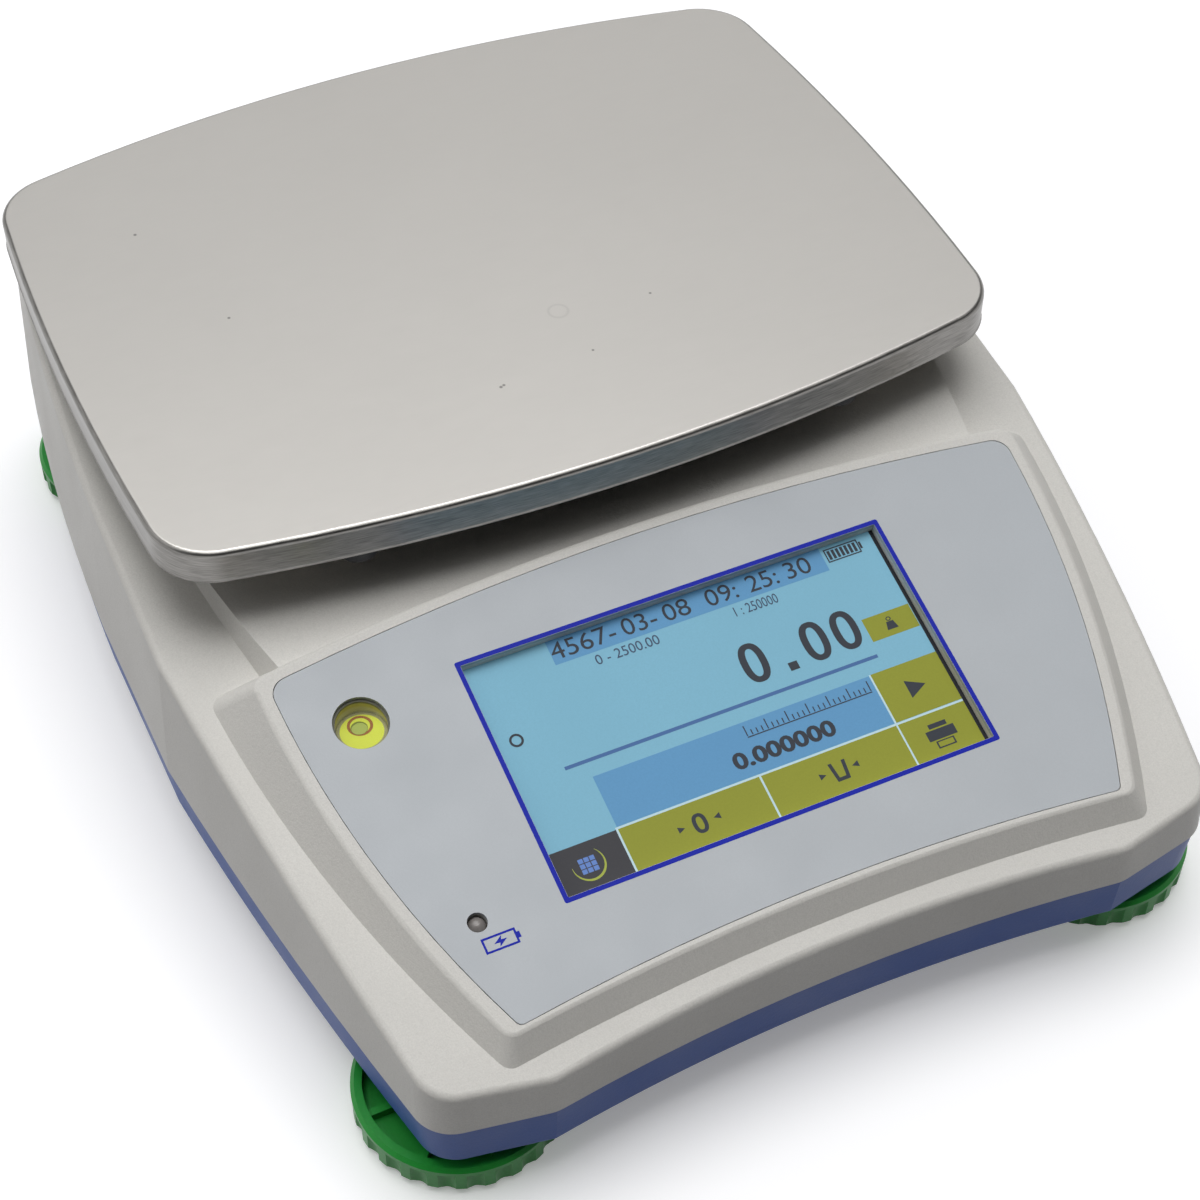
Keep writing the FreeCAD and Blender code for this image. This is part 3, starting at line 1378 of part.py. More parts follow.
def fasteners():
    """Make every group of screws."""
    down = (Vector(1, 0, 0), 180)
    screw_set("housing_screws", spots_of(HOUSING_SCREWS, "foot_height + screw_grip"), "screw_head",
              "head_height", "screw_radius", "tray_height - screw_grip + screw_bite")
    depth = value(CARRIER_DEPTH + " + board_thickness")
    post_reach = " - tray_floor - cut_over"
    screw_set("display_screws", [console_point(value(x), value(v), depth) for x, v in BOARD_SCREWS],
              "boss_radius * 0.8", "small_head_height", "boss_pilot - thread_clearance / 2",
              "board_thickness + carrier_height * 0.7", (Vector(1, 0, 0), value("console_tilt")))
    screw_set("chassis_screws", spots_of(CHASSIS_SCREWS, CHASSIS_TOP), "screw_head",
              "head_height", "screw_radius", "chassis_thickness + chassis_height" + post_reach, down)
    board_top = "foot_height + main_board_height + board_thickness"
    screw_set("main_board_screws", spots_of(MAIN_BOARD_SCREWS, board_top), "screw_head",
              "head_height", "screw_radius", "board_thickness + main_board_height" + post_reach, down)
    screw_set("battery_door_screws", spots_of(DOOR_SCREWS, "foot_height + door_thickness / 2"), "screw_head",
              "door_thickness / 2", "screw_radius", "door_thickness / 2 + door_bite")
    screw_set("load_cell_screws", spots_of(REAR_BOLTS, "foot_height + chassis_height"), "bolt_radius * 1.7",
              "bolt_head_height", "bolt_radius", "chassis_thickness + spacer_height + cell_height * 0.6")
    screw_set("support_screws", spots_of(FRONT_BOLTS, SUPPORT_TOP), "bolt_radius * 1.7",
              "bolt_head_height", "bolt_radius",
              "(%s) - (%s) + cell_height * 0.6" % (SUPPORT_TOP, CELL_TOP), down)


def main():
    """Build every piece and write each one out."""
    make_sheet()
    upper_housing()
    lower_tray()
    front_panel()
    touch_screen()
    lcd_module()
    display_frame()
    display_board()
    level_vial()
    charge_lamp()
    weighing_pan()
    pan_support()
    copies("pan_support_cushions", cushion(), spots_of(CUSHIONS, SUPPORT_TOP))
    load_cell()
    block_with_bolts("load_cell_spacer", ("0", REAR_SEAT_Y), ("cell_width", "cell_seat"), CHASSIS_TOP,
                     "spacer_height", REAR_BOLTS, "bolt_radius + thread_clearance")
    chassis_plate()
    overload_stop()
    main_board()
    battery_pack()
    battery_door()
    dc_jack()
    serial_port()
    power_switch()
    power_rocker()
    for name, spot in FEET.items():
        foot_wheel(name, spot)
        foot_stud(name, spot)
        foot_pad(name, spot)
    copies("foot_inserts", foot_insert(), spots_of(FEET.values(), "foot_height"))
    fasteners()
    doc.recompute()
    for item in doc.Objects:
        if "Invalid" in item.State or "Error" in item.State:
            raise RuntimeError("%s failed: %s" % (item.Name, item.State))
    for part in parts:
        if part.Shape.isNull() or not part.Shape.isValid():
            raise RuntimeError("%s has no valid shape" % part.Label)
    os.makedirs("parts", exist_ok=True)
    for part in parts:
        part.Shape.exportStep("parts/%s.step" % part.Label)
        print(part.Label, len(part.Shape.Solids), round(part.Shape.Volume))


main()
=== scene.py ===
"""Looks of a touch-screen precision balance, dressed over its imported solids.

Lengths are in metres. X runs to the viewer's right, Y to the back and Z up, and the
origin lies on the bench under the middle of the balance.
"""

import logging
import math
from abc import ABC, abstractmethod
from collections.abc import Sequence
from dataclasses import dataclass, field
from enum import Enum

import bmesh
import bpy
from mathutils import Euler, Matrix, Vector, geometry


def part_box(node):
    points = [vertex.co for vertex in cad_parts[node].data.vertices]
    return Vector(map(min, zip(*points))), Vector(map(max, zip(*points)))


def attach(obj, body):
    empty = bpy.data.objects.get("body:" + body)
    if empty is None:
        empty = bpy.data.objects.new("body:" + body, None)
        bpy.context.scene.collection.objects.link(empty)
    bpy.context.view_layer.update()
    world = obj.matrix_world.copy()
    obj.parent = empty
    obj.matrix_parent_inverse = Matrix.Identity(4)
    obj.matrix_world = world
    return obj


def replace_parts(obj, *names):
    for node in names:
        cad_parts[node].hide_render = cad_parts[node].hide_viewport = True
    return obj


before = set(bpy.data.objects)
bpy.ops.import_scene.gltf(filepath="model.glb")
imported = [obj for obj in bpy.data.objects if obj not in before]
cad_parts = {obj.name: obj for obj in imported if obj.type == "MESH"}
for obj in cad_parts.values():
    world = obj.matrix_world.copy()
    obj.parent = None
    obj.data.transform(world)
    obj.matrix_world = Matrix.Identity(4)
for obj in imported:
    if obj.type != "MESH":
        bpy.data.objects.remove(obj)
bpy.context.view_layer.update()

log = logging.getLogger("balance")

Colour = tuple[float, float, float]
Point = tuple[float, float]
Box = tuple[float, float, float, float]
Material = bpy.types.Material
Mesh = bpy.types.Mesh
Socket = bpy.types.NodeSocket
Given = Socket | float | Sequence[float]

MM = 0.001
SLOPE_TILT = math.radians(15.4)


def tone(red: float, green: float, blue: float) -> Colour:
    """Turn screen values from 0 to 255 into linear light."""
    shares = (red / 255, green / 255, blue / 255)
    return tuple(s / 12.92 if s <= 0.04045 else ((s + 0.055) / 1.055) ** 2.4 for s in shares)


def scaled(colour: Colour, factor: float) -> Colour:
    """Lighten or darken a colour, kept below full white."""
    return tuple(min(0.98, part * factor) for part in colour)


class Tree:
    """A node tree, with short calls for adding and joining its nodes."""

    def __init__(self, tree: bpy.types.NodeTree) -> None:
        """Start with the tree emptied."""
        self.nodes = tree.nodes
        self.links = tree.links
        self.nodes.clear()

    def add(self, kind: str, inputs: dict | None = None, **settings: str) -> bpy.types.Node:
        """Add a node.

        Args:
            kind: The node's type.
            inputs: Values, sockets or lists of sockets for its inputs, by name or number.
            settings: The node's own settings.

        Returns:
            The new node.
        """
        node = self.nodes.new(kind)
        for name, setting in settings.items():
            setattr(node, name, setting)
        for name, given in (inputs or {}).items():
            for source in given if isinstance(given, list) else [given]:
                if isinstance(source, Socket):
                    self.links.new(source, node.inputs[name])
                else:
                    node.inputs[name].default_value = source
        return node

    def sum(self, action: str, *values: Given) -> Socket:
        """Join values by an arithmetic action."""
        return self.add("ShaderNodeMath", dict(enumerate(values)), operation=action).outputs[0]

    def times(self, first: Given, second: Given) -> Socket:
        """Multiply two values."""
        return self.sum("MULTIPLY", first, second)

    def parts(self, vector: Socket) -> Sequence[Socket]:
        """Give the three parts of a vector."""
        return self.add("ShaderNodeSeparateXYZ", {0: vector}).outputs


class Graph(Tree):
    """The node tree of one material or world, with short calls for what the finishes share."""

    def __init__(self, holder: Material | bpy.types.World) -> None:
        """Start an empty tree in a new material or world."""
        holder.use_nodes = True
        super().__init__(holder.node_tree)
        self.holder = holder

    def place(self, stretch: Sequence[float] = (1.0, 1.0, 1.0)) -> Socket:
        """Give the place in the object's own space, stretched along its axes."""
        spot = self.add("ShaderNodeTexCoord").outputs["Object"]
        return self.add("ShaderNodeMapping", {"Vector": spot, "Scale": stretch}).outputs[0]

    def facing(self, axis: int) -> Socket:
        """Give how far the surface looks along one of the object's axes, from -1 to 1."""
        return self.parts(self.add("ShaderNodeTexCoord").outputs["Normal"])[axis]

    def noise(self, place: Socket, size: float, detail: float = 2.0) -> Socket:
        """Give a noise of a size in the place's measure, spread over the whole range from 0 to 1."""
        raw = self.add("ShaderNodeTexNoise", {"Vector": place, "Scale": 1 / size, "Detail": detail})
        return self.span(raw.outputs[0], 0.3, 0.7)

    def span(
        self, given: Socket, low: float = 0.0, high: float = 1.0, first: float = 0.0, last: float = 1.0
    ) -> Socket:
        """Carry a range of values over to another range, clamped at its ends."""
        inputs = {0: given, 1: low, 2: high, 3: first, 4: last}
        return self.add("ShaderNodeMapRange", inputs).outputs[0]

    def within(self, given: Socket, limit: float, faded: float, most: float = 1.0) -> Socket:
        """Give the most up to a limit, and 0 from where it has faded."""
        return self.span(given, limit, faded, most, 0.0)

    def about(self, given: Socket, middle: float, less: float, more: float) -> Socket:
        """Vary a value about a middle one."""
        return self.span(given, first=middle - less, last=middle + more)

    def away(self, given: Socket, middle: float) -> Socket:
        """Give how far a value is from a middle one."""
        return self.sum("ABSOLUTE", self.sum("SUBTRACT", given, middle))

    def vector(self, action: str, first: Given, second: Given = (0.0, 0.0, 0.0), value: bool = False) -> Socket:
        """Join two vectors by an action, and give the resulting vector or value."""
        node = self.add("ShaderNodeVectorMath", {0: first, 1: second}, operation=action)
        return node.outputs["Value" if value else "Vector"]

    def blend(self, factor: Given, first: Given, second: Given) -> Socket:
        """Mix two colours, or sockets that carry colours, by a factor."""
        pair = [(*given, 1.0) if isinstance(given, tuple) else given for given in (first, second)]
        return self.add("ShaderNodeMix", {0: factor, 6: pair[0], 7: pair[1]}, data_type="RGBA").outputs[2]

    def tint(self, factor: Given, colour: Colour, low: float, high: float) -> Socket:
        """Vary a colour between two strengths of itself."""
        return self.blend(factor, scaled(colour, low), scaled(colour, high))

    def clouded(self, cloud: Socket, most: float, shade: Socket, other: Given) -> Socket:
        """Carry a colour towards another one in patches, by a share at most."""
        return self.blend(self.span(cloud, last=most), shade, other)

    def relief(self, height: Socket, depth: float, under: Socket | None = None) -> Socket:
        """Turn a height from 0 to 1 into a bump of a real depth, over another bump if given."""
        inputs = {"Height": height, "Distance": depth, "Strength": 1.0}
        if under is not None:
            inputs["Normal"] = under
        return self.add("ShaderNodeBump", inputs).outputs[0]

    def finish(self, **inputs: Given) -> Material:
        """Close the tree with a surface shader.

        Args:
            inputs: The shader's inputs, with _ for each space in their names.

        Returns:
            The material.
        """
        named = {
            name.replace("_", " "): (*given, 1.0) if isinstance(given, tuple) else given
            for name, given in inputs.items()
        }
        shader = self.add("ShaderNodeBsdfPrincipled", named)
        self.add("ShaderNodeOutputMaterial", {"Surface": shader.outputs[0]})
        return self.holder


class Finish(ABC):
    """The look of one material."""

    def dress(self, name: str) -> Material:
        """Build the material under a name."""
        return self.paint(Graph(bpy.data.materials.new(name)))

    @abstractmethod
    def paint(self, graph: Graph) -> Material:
        """Fill the material's tree."""


@dataclass(frozen=True)
class PaintedBoreLight:
    """Painted shade at the mouth of a tilted round hole, and a painted reflection of the green liquid on its wall
    further down, changing with depth.
    """

    spot: tuple[float, float, float]
    tilt: float
    radius: float
    mouth: Colour
    band: Colour
    depth: Colour
    edge: Point = (0.1 * MM, 0.02 * MM)
    mouth_end: Point = (1.6 * MM, 1.1 * MM)
    band_end: Point = (2.7 * MM, 2.1 * MM)
    soft: float = 0.05 * MM

    def tint(self, graph: Graph, place: Socket, shade: Socket) -> Socket:
        """Paint the shade and the liquid's reflection on the wall of the hole.

        Args:
            graph: The material's tree.
            place: The place in the object's space.
            shade: The colour so far.

        Returns:
            The colour with the painted wall in it.
        """
        axis = (0.0, -math.sin(self.tilt), math.cos(self.tilt))
        away = graph.vector("SUBTRACT", place, self.spot)
        beside = graph.vector("LENGTH", graph.vector("CROSS_PRODUCT", away, axis), value=True)
        height = graph.vector("DOT_PRODUCT", away, axis, value=True)
        inside = graph.within(beside, self.radius, self.radius + self.soft)
        below, past_mouth, past_band = (
            graph.within(height, -deep, -high) for deep, high in (self.edge, self.mouth_end, self.band_end)
        )
        wall = graph.blend(past_band, graph.blend(past_mouth, self.mouth, self.band), self.depth)
        return graph.blend(graph.times(inside, below), shade, wall)


# Painted shade at the mouth of the vial's hole, and a painted reflection of the liquid deeper on its wall.
VIAL_BORE = PaintedBoreLight(
    spot=(-71.8 * MM, -50.7 * MM, 60.4 * MM),
    tilt=SLOPE_TILT,
    radius=6.3 * MM,
    mouth=tone(96, 96, 80),
    band=tone(214, 206, 130),
    depth=tone(226, 222, 188),
)


@dataclass(frozen=True)
class MouldedPlastic(Finish):
    """Injection-moulded plastic with a spark-eroded grain."""

    colour: Colour
    roughness: float = 0.5
    grain: float = 0.32 * MM
    relief: float = 0.016 * MM
    mottle: float = 0.06
    gloss: float = 0.35
    # Painted shade and painted reflection for the wall of a hole, if there is one.
    bore_painted_light: PaintedBoreLight | None = None
    # Height of a near-black painted shadow along the parting joint, and how far it spreads.
    shadow_seam: float | None = None
    shadow_seam_width: float = 0.4 * MM
    cloud: float = 22.0 * MM

    def paint(self, graph: Graph) -> Material:
        """Fill the tree with the grain and its pores, with the painted shade and reflection in a bore, and with a
        painted shadow along a seam.
        """
        place = graph.place()
        fine = graph.noise(place, self.grain)
        pores = graph.noise(place, 2.5 * self.grain, 3.0)
        broad = graph.noise(place, self.cloud, 4.0)
        speckle = graph.tint(fine, self.colour, 1 - self.mottle, 1 + self.mottle)
        shade = graph.blend(graph.within(pores, 0.0, 0.35, 0.4), speckle, scaled(self.colour, 1 - 2 * self.mottle))
        shade = graph.clouded(broad, 0.3, shade, scaled(self.colour, 0.965))
        # Painted shade and a painted reflection of the liquid on the wall of a hole.
        if self.bore_painted_light:
            shade = self.bore_painted_light.tint(graph, place, shade)
        # A near-black painted shadow along the parting joint, where the housing meets the tray.
        if self.shadow_seam:
            away = graph.away(graph.parts(place)[2], self.shadow_seam)
            near = graph.within(away, 0.6 * self.shadow_seam_width, self.shadow_seam_width, 0.92)
            shade = graph.blend(near, shade, scaled(self.colour, 0.06))
        return graph.finish(
            Base_Color=shade,
            Roughness=graph.about(broad, self.roughness, 0.05, 0.06),
            Specular_IOR_Level=self.gloss,
            Normal=graph.relief(fine, self.relief, graph.relief(pores, 1.5 * self.relief)),
        )


@dataclass(frozen=True)
class Blemish:
    """A small mark on the pan, in millimetres, which lies on the skirt if it has a height of its own."""

    across: float
    along: float
    radius: float
    height: float | None = None
    depth: float = 0.7
    hollow: bool = False

    def cover(self, graph: Graph) -> Socket:
        """Give how far the mark covers the steel.

        Args:
            graph: The material's tree.

        Returns:
            The share, from 0 to 1.
        """
        spot = (self.across * MM, self.along * MM, (self.height or 0.0) * MM)
        radius = self.radius * MM
        away = graph.vector("SUBTRACT", graph.place(), spot)
        away = graph.vector("MULTIPLY", away, (1.0, 1.0, 1.0 if self.height else 0.0))
        away = graph.vector("LENGTH", away, value=True)
        if self.hollow:
            return graph.within(graph.away(away, radius), 0.0, 0.5 * MM, 0.12)
        return graph.within(away, 0.45 * radius, radius, self.depth)


@dataclass(frozen=True)
class BrushedSteel(Finish):
    """Stainless sheet with fine brush lines, also round its skirt, which with the fold is darkened by a painted shade,
    and a few marks of use.
    """

    colour: Colour
    roughness: float = 0.3
    stroke: float = 4 * MM
    line: float = 0.22 * MM
    depth: float = 0.0005 * MM
    cloud: float = 60.0 * MM
    # The tilts from the top at which the painted shade of the fold and skirt sets in, dimming the fold's highlight.
    level: Point = (0.955, 0.996)
    top: Point = (1.0, 1.015)
    # The skirt's painted shade, as shares of the colour across the brush lines.
    skirt: Point = (0.2, 0.4)
    blemishes: tuple[Blemish, ...] = ()

    def _flat(self, graph: Graph) -> Socket:
        """Give 1 on the flat top and 0 on the skirt, which is brushed after the pressing; this also places the painted
        shade of the skirt and fold.
        """
        return graph.span(graph.sum("ABSOLUTE", graph.facing(2)), *self.level)

    def _streaks(self, graph: Graph, stroke: float, line: float) -> Socket:
        """Give the brush lines: across the flat top, and lengthwise round the skirt.

        Args:
            graph: The material's tree.
            stroke: The length of a line.
            line: Its width.

        Returns:
            The lines, from 0 to 1.
        """
        long, short = 1 / stroke, 1 / line
        top = graph.noise(graph.place((long, short, long)), 1.0, 3.0)
        skirt = graph.noise(graph.place((long, long, short)), 1.0, 3.0)
        return graph.add("ShaderNodeMix", {0: self._flat(graph), 2: skirt, 3: top}, data_type="FLOAT").outputs[0]

    def paint(self, graph: Graph) -> Material:
        """Fill the tree with the brush lines, a faint cloud, the painted shade of the skirt and fold, and the marks.
        """
        fine = self._streaks(graph, self.stroke, self.line)
        coarse = self._streaks(graph, 2.5 * self.stroke, 9 * self.line)
        cloud = graph.noise(graph.place(), self.cloud, 3.0)
        streaks = graph.sum("ADD", graph.span(fine, last=0.75), graph.span(coarse, last=0.25))
        # The skirt and fold get a painted shade, standing in for the shadowed deck they mirror and dimming the fold's
        # highlight.
        skirt, top = (graph.tint(streaks, self.colour, *shares) for shares in (self.skirt, self.top))
        shade = graph.blend(self._flat(graph), skirt, top)
        shade = graph.clouded(cloud, 0.5, shade, graph.blend(0.04, shade, (0.0, 0.0, 0.0)))
        for mark in self.blemishes:
            shade = graph.blend(mark.cover(graph), shade, scaled(self.colour, self.skirt[0]))
        return graph.finish(
            Base_Color=shade,
            Metallic=1.0,
            Roughness=graph.about(streaks, self.roughness, 0.01, 0.02),
            Normal=graph.relief(fine, self.depth),
        )


class Grain(Enum):
    """How a metal's surface was made, as the stretch of its pattern in one direction."""

    CAST = (1.0, 1.0, 1.0)
    MILLED = (0.04, 1.0, 1.0)
    PLATED = (1.0, 1.0, 0.5)
    ROLLED = (0.15, 1.0, 1.0)


@dataclass(frozen=True)
class Insert:
    """The insulating face in a connector's shell: its middle and half its size, across and upwards."""

    colour: Colour
    middle: Point
    half: Point
    soft: float = 0.02 * MM

    def mask(self, graph: Graph) -> Socket:
        """Give 1 on the insulating face and 0 on the shell."""
        across, _, upwards = graph.parts(graph.place())
        inside = [
            graph.within(graph.away(place, middle), half, half + self.soft)
            for place, middle, half in zip((across, upwards), self.middle, self.half)
        ]
        return graph.times(graph.times(*inside), graph.span(graph.facing(1), 0.8, 0.9))


@dataclass(frozen=True)
class Metal(Finish):
    """Cast, milled, plated or rolled metal."""

    colour: Colour
    roughness: float
    grain: Grain
    size: float = 0.5 * MM
    relief: float = 0.01 * MM
    insert: Insert | None = None

    def paint(self, graph: Graph) -> Material:
        """Fill the tree with the grain, stains and, if there is one, the insulating face."""
        fine = graph.noise(graph.place(self.grain.value), self.size, 3.0)
        stain = graph.noise(graph.place(), 9 * MM, 4.0)
        shade = graph.tint(stain, self.colour, 0.88, 1.08)
        metallic: Given = 1.0
        if self.insert:
            covered = self.insert.mask(graph)
            shade = graph.blend(covered, shade, self.insert.colour)
            metallic = graph.span(covered, first=1.0, last=0.0)
        return graph.finish(
            Base_Color=shade,
            Metallic=metallic,
            Roughness=graph.about(fine, self.roughness, 0.06, 0.1),
            Normal=graph.relief(fine, self.relief),
        )


@dataclass(frozen=True)
class PrintedFilm(Finish):
    """Polyester overlay with a satin texture on its face."""

    colour: Colour
    roughness: float = 0.42

    def paint(self, graph: Graph) -> Material:
        """Fill the tree with the satin texture."""
        place = graph.place()
        tooth = graph.noise(place, 0.35 * MM)
        cloud = graph.noise(place, 14 * MM, 3.0)
        shade = graph.tint(graph.span(tooth, first=0.2, last=0.8), self.colour, 0.97, 1.03)
        shade = graph.clouded(cloud, 0.4, shade, scaled(self.colour, 0.96))
        return graph.finish(
            Base_Color=shade,
            Roughness=graph.about(cloud, self.roughness, 0.04, 0.05),
            Specular_IOR_Level=0.45,
            Normal=graph.relief(tooth, 0.008 * MM),
        )


@dataclass(frozen=True)
class Ink(Finish):
    """One ink of a print or of the lit picture, under a smooth face or a satin one."""

    colour: Colour
    # Light given off: real for the lit picture, a painted glow where used for the level's liquid.
    glow: float = 0.0
    roughness: float = 0.5
    cell: float = 0.4 * MM
    gloss: float = 0.15

    def paint(self, graph: Graph) -> Material:
        """Fill the tree with the ink's cells and a faint cloud."""
        speck = graph.noise(graph.place(), self.cell)
        cloud = graph.noise(graph.place(), 25 * MM)
        shade = graph.clouded(cloud, 0.5, graph.tint(speck, self.colour, 0.97, 1.03), scaled(self.colour, 0.95))
        return graph.finish(
            Base_Color=shade,
            Roughness=self.roughness,
            Specular_IOR_Level=self.gloss,
            Emission_Color=shade,
            Emission_Strength=self.glow,
        )


@dataclass(frozen=True)
class ClearPlastic(Finish):
    """Clear or tinted plastic or glass, thin enough to see through."""

    colour: Colour
    cover: float
    roughness: float = 0.08
    wave: float = 0.01 * MM

    def paint(self, graph: Graph) -> Material:
        """Fill the tree with a slow wave of the surface."""
        wave = graph.noise(graph.place(), 3 * MM)
        return graph.finish(
            Base_Color=graph.tint(wave, self.colour, 0.95, 1.0),
            Roughness=self.roughness,
            Alpha=self.cover,
            Normal=graph.relief(wave, self.wave),
        )


@dataclass(frozen=True)
class BoardLacquer(Finish):
    """Solder lacquer over copper tracks."""

    colour: Colour
    copper: Colour

    def paint(self, graph: Graph) -> Material:
        """Fill the tree with the tracks under the lacquer."""
        inputs = {"Vector": graph.place(), "Scale": 1 / (4 * MM)}
        cells = graph.add("ShaderNodeTexVoronoi", inputs, distance="CHEBYCHEV", feature="F1").outputs["Distance"]
        track = graph.span(graph.sum("FRACT", graph.times(cells, 3.0)), 0.42, 0.5)
        shade = graph.blend(track, self.colour, self.copper)
        return graph.finish(Base_Color=shade, Roughness=0.3, Normal=graph.relief(track, 0.03 * MM))


PAN_MARKS = (
    Blemish(-70.6, 89.0, 0.5),
    Blemish(-60.9, 52.3, 0.45),
    Blemish(27.1, 20.9, 0.4),
    Blemish(7.3, 8.8, 0.4),
    Blemish(-15.7, 6.2, 0.5),
    Blemish(-14.9, 6.5, 0.45),
    Blemish(5.9, 23.9, 2.2, hollow=True),
    Blemish(76.5, -17.6, 1.2, 77.2, 0.35),
    Blemish(72.0, -18.3, 1.0, 76.6, 0.4),
    Blemish(67.0, -19.2, 0.8, 77.0, 0.3),
)

SLOT_FINISHES: dict[str, Finish] = {
    # The housing carries the painted shade and reflection in the vial's hole.
    "housing_plastic": MouldedPlastic(tone(209, 207, 202), bore_painted_light=VIAL_BORE),
    # The tray carries a painted shadow along its joint with the housing.
    "tray_plastic": MouldedPlastic(
        tone(58, 89, 160), roughness=0.45, relief=0.01 * MM, mottle=0.05, gloss=0.25, shadow_seam=24.5 * MM
    ),
    "panel_film": PrintedFilm(tone(177, 182, 187)),
    "touch_glass": Ink(tone(50, 51, 56), roughness=0.2),
    "display": Ink(tone(60, 75, 85), roughness=0.25),
    "black_plastic": MouldedPlastic(tone(38, 39, 41), relief=0.012 * MM),
    "circuit_board": BoardLacquer(tone(24, 92, 58), tone(46, 122, 74)),
    "vial_plastic": ClearPlastic(tone(150, 146, 104), cover=1.0, roughness=0.4),
    # The liquid has a painted glow, though it is no lamp.
    "vial_fluid": Ink(tone(206, 214, 62), glow=0.1, roughness=0.4),
    "vial_glass": ClearPlastic(tone(225, 232, 190), cover=0.05, wave=0.0),
    "lamp_plastic": ClearPlastic(tone(140, 135, 132), cover=0.85, roughness=0.16),
    "pan_steel": BrushedSteel(tone(226, 223, 218), blemishes=PAN_MARKS),
    "cast_alloy": Metal(tone(74, 75, 77), 0.55, Grain.CAST, 0.8 * MM, 0.04 * MM),
    "black_rubber": MouldedPlastic(tone(33, 33, 34), roughness=0.72, grain=0.3 * MM, mottle=0.12),
    "cell_alloy": Metal(tone(196, 198, 200), 0.3, Grain.MILLED, 0.3 * MM),
    "chassis_steel": Metal(tone(176, 178, 180), 0.4, Grain.ROLLED, 0.6 * MM),
    "zinc_steel": Metal(tone(190, 192, 196), 0.32, Grain.PLATED, 0.7 * MM),
    "battery_wrap": MouldedPlastic(tone(42, 72, 128), roughness=0.28, grain=1.5 * MM, mottle=0.03),
    "connector_black": MouldedPlastic(tone(30, 30, 32), roughness=0.38, relief=0.006 * MM),
    "connector_metal": Metal(
        tone(188, 190, 193), 0.28, Grain.PLATED, 0.6 * MM,
        insert=Insert(tone(38, 39, 42), middle=(-37.0 * MM, 39.5 * MM), half=(7.4 * MM, 3.1 * MM)),
    ),
    "insert_brass": Metal(tone(196, 160, 86), 0.3, Grain.PLATED),
    "wheel_plastic": MouldedPlastic(tone(34, 148, 54), roughness=0.34, grain=0.8 * MM, relief=0.008 * MM, mottle=0.05),
    "rocker_black": MouldedPlastic(tone(28, 28, 30), roughness=0.3, relief=0.004 * MM),
}


class Wardrobe:
    """Every material of the balance, each made once."""

    def __init__(self) -> None:
        """Start with no material made."""
        self.made: dict[str, Material] = {}

    def hang(self, name: str, finish: Finish | None = None) -> Material:
        """Give a material, made when it is first asked for, from the slot's finish if none is given."""
        if name not in self.made:
            self.made[name] = (finish or SLOT_FINISHES[name]).dress(name + "_finish")
        return self.made[name]

    def dress_nodes(self) -> None:
        """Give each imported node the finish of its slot."""
        for name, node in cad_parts.items():
            for holder in node.material_slots:
                holder.material = self.hang(holder.material.name.split(".")[0])
            log.info("dressed %s", name)


def outline_box(left: float, right: float, low: float, high: float) -> list[Point]:
    """Give the four corners of an upright box."""
    return [(left, low), (right, low), (right, high), (left, high)]


def outline_round(middle: Point, width: float, depth: float, corner: float, steps: int = 6) -> list[Point]:
    """Give the outline of a box with round corners.

    Args:
        middle: Its middle.
        width: Its full width.
        depth: Its full depth.
        corner: The radius of its corners.
        steps: The parts of each corner.

    Returns:
        The outline's points, turning to the left.
    """
    points = []
    for turn, (side, end) in enumerate(((1, 1), (-1, 1), (-1, -1), (1, -1))):
        for step in range(steps + 1):
            angle = math.pi / 2 * (turn + step / steps)
            across = side * (width / 2 - corner) + corner * math.cos(angle)
            along = end * (depth / 2 - corner) + corner * math.sin(angle)
            points.append((middle[0] + across, middle[1] + along))
    return points


def outline_oval(middle: Point, half: Point, power: float = 2.0, steps: int = 48) -> list[Point]:
    """Give the outline of an oval.

    Args:
        middle: Its middle.
        half: Half its width and half its height.
        power: 2 for an ellipse, and more for a squarer one.
        steps: The number of its points.

    Returns:
        The outline's points, turning to the left.
    """
    points = []
    for step in range(steps):
        angle = 2 * math.pi * step / steps
        ways = (math.cos(angle), math.sin(angle))
        points.append(tuple(
            start + size * math.copysign(abs(way) ** (2 / power), way) for start, size, way in zip(middle, half, ways)
        ))
    return points


def placed(name: str, content: bpy.types.ID) -> bpy.types.Object:
    """Make an object of a mesh, a curve, a camera or a light, and put it in the scene."""
    thing = bpy.data.objects.new(name, content)
    bpy.context.scene.collection.objects.link(thing)
    return thing


def drawn_off(carrier: bpy.types.Object) -> Mesh:
    """Give the finished mesh of an object, which is removed."""
    shape = bpy.data.meshes.new_from_object(carrier.evaluated_get(bpy.context.evaluated_depsgraph_get()))
    bpy.data.objects.remove(carrier)
    return shape


def settle(name: str, shape: Mesh, material: Material, body: str) -> bpy.types.Object:
    """Make a finished mesh a piece of the balance.

    Args:
        name: The piece's name.
        shape: Its mesh, in place.
        material: Its finish.
        body: The body that it rides.

    Returns:
        The piece.
    """
    shape.materials.clear()
    shape.materials.append(material)
    piece = placed(name, shape)
    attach(piece, body)
    log.info("made %s with %d faces", name, len(shape.polygons))
    return piece


def join_rings(form: bmesh.types.BMesh, rings: Sequence[Sequence[bmesh.types.BMVert]]) -> None:
    """Join each ring of corners to the next one, which has as many, with a band of faces."""
    for ring, following in zip(rings, rings[1:]):
        for here in range(len(ring)):
            beside = (here + 1) % len(ring)
            form.faces.new((ring[here], ring[beside], following[beside], following[here]))


def poured(name: str, form: bmesh.types.BMesh) -> Mesh:
    """Turn a form into a mesh with its faces looking outwards."""
    bmesh.ops.recalc_face_normals(form, faces=form.faces)
    shape = bpy.data.meshes.new(name)
    form.to_mesh(shape)
    form.free()
    return shape


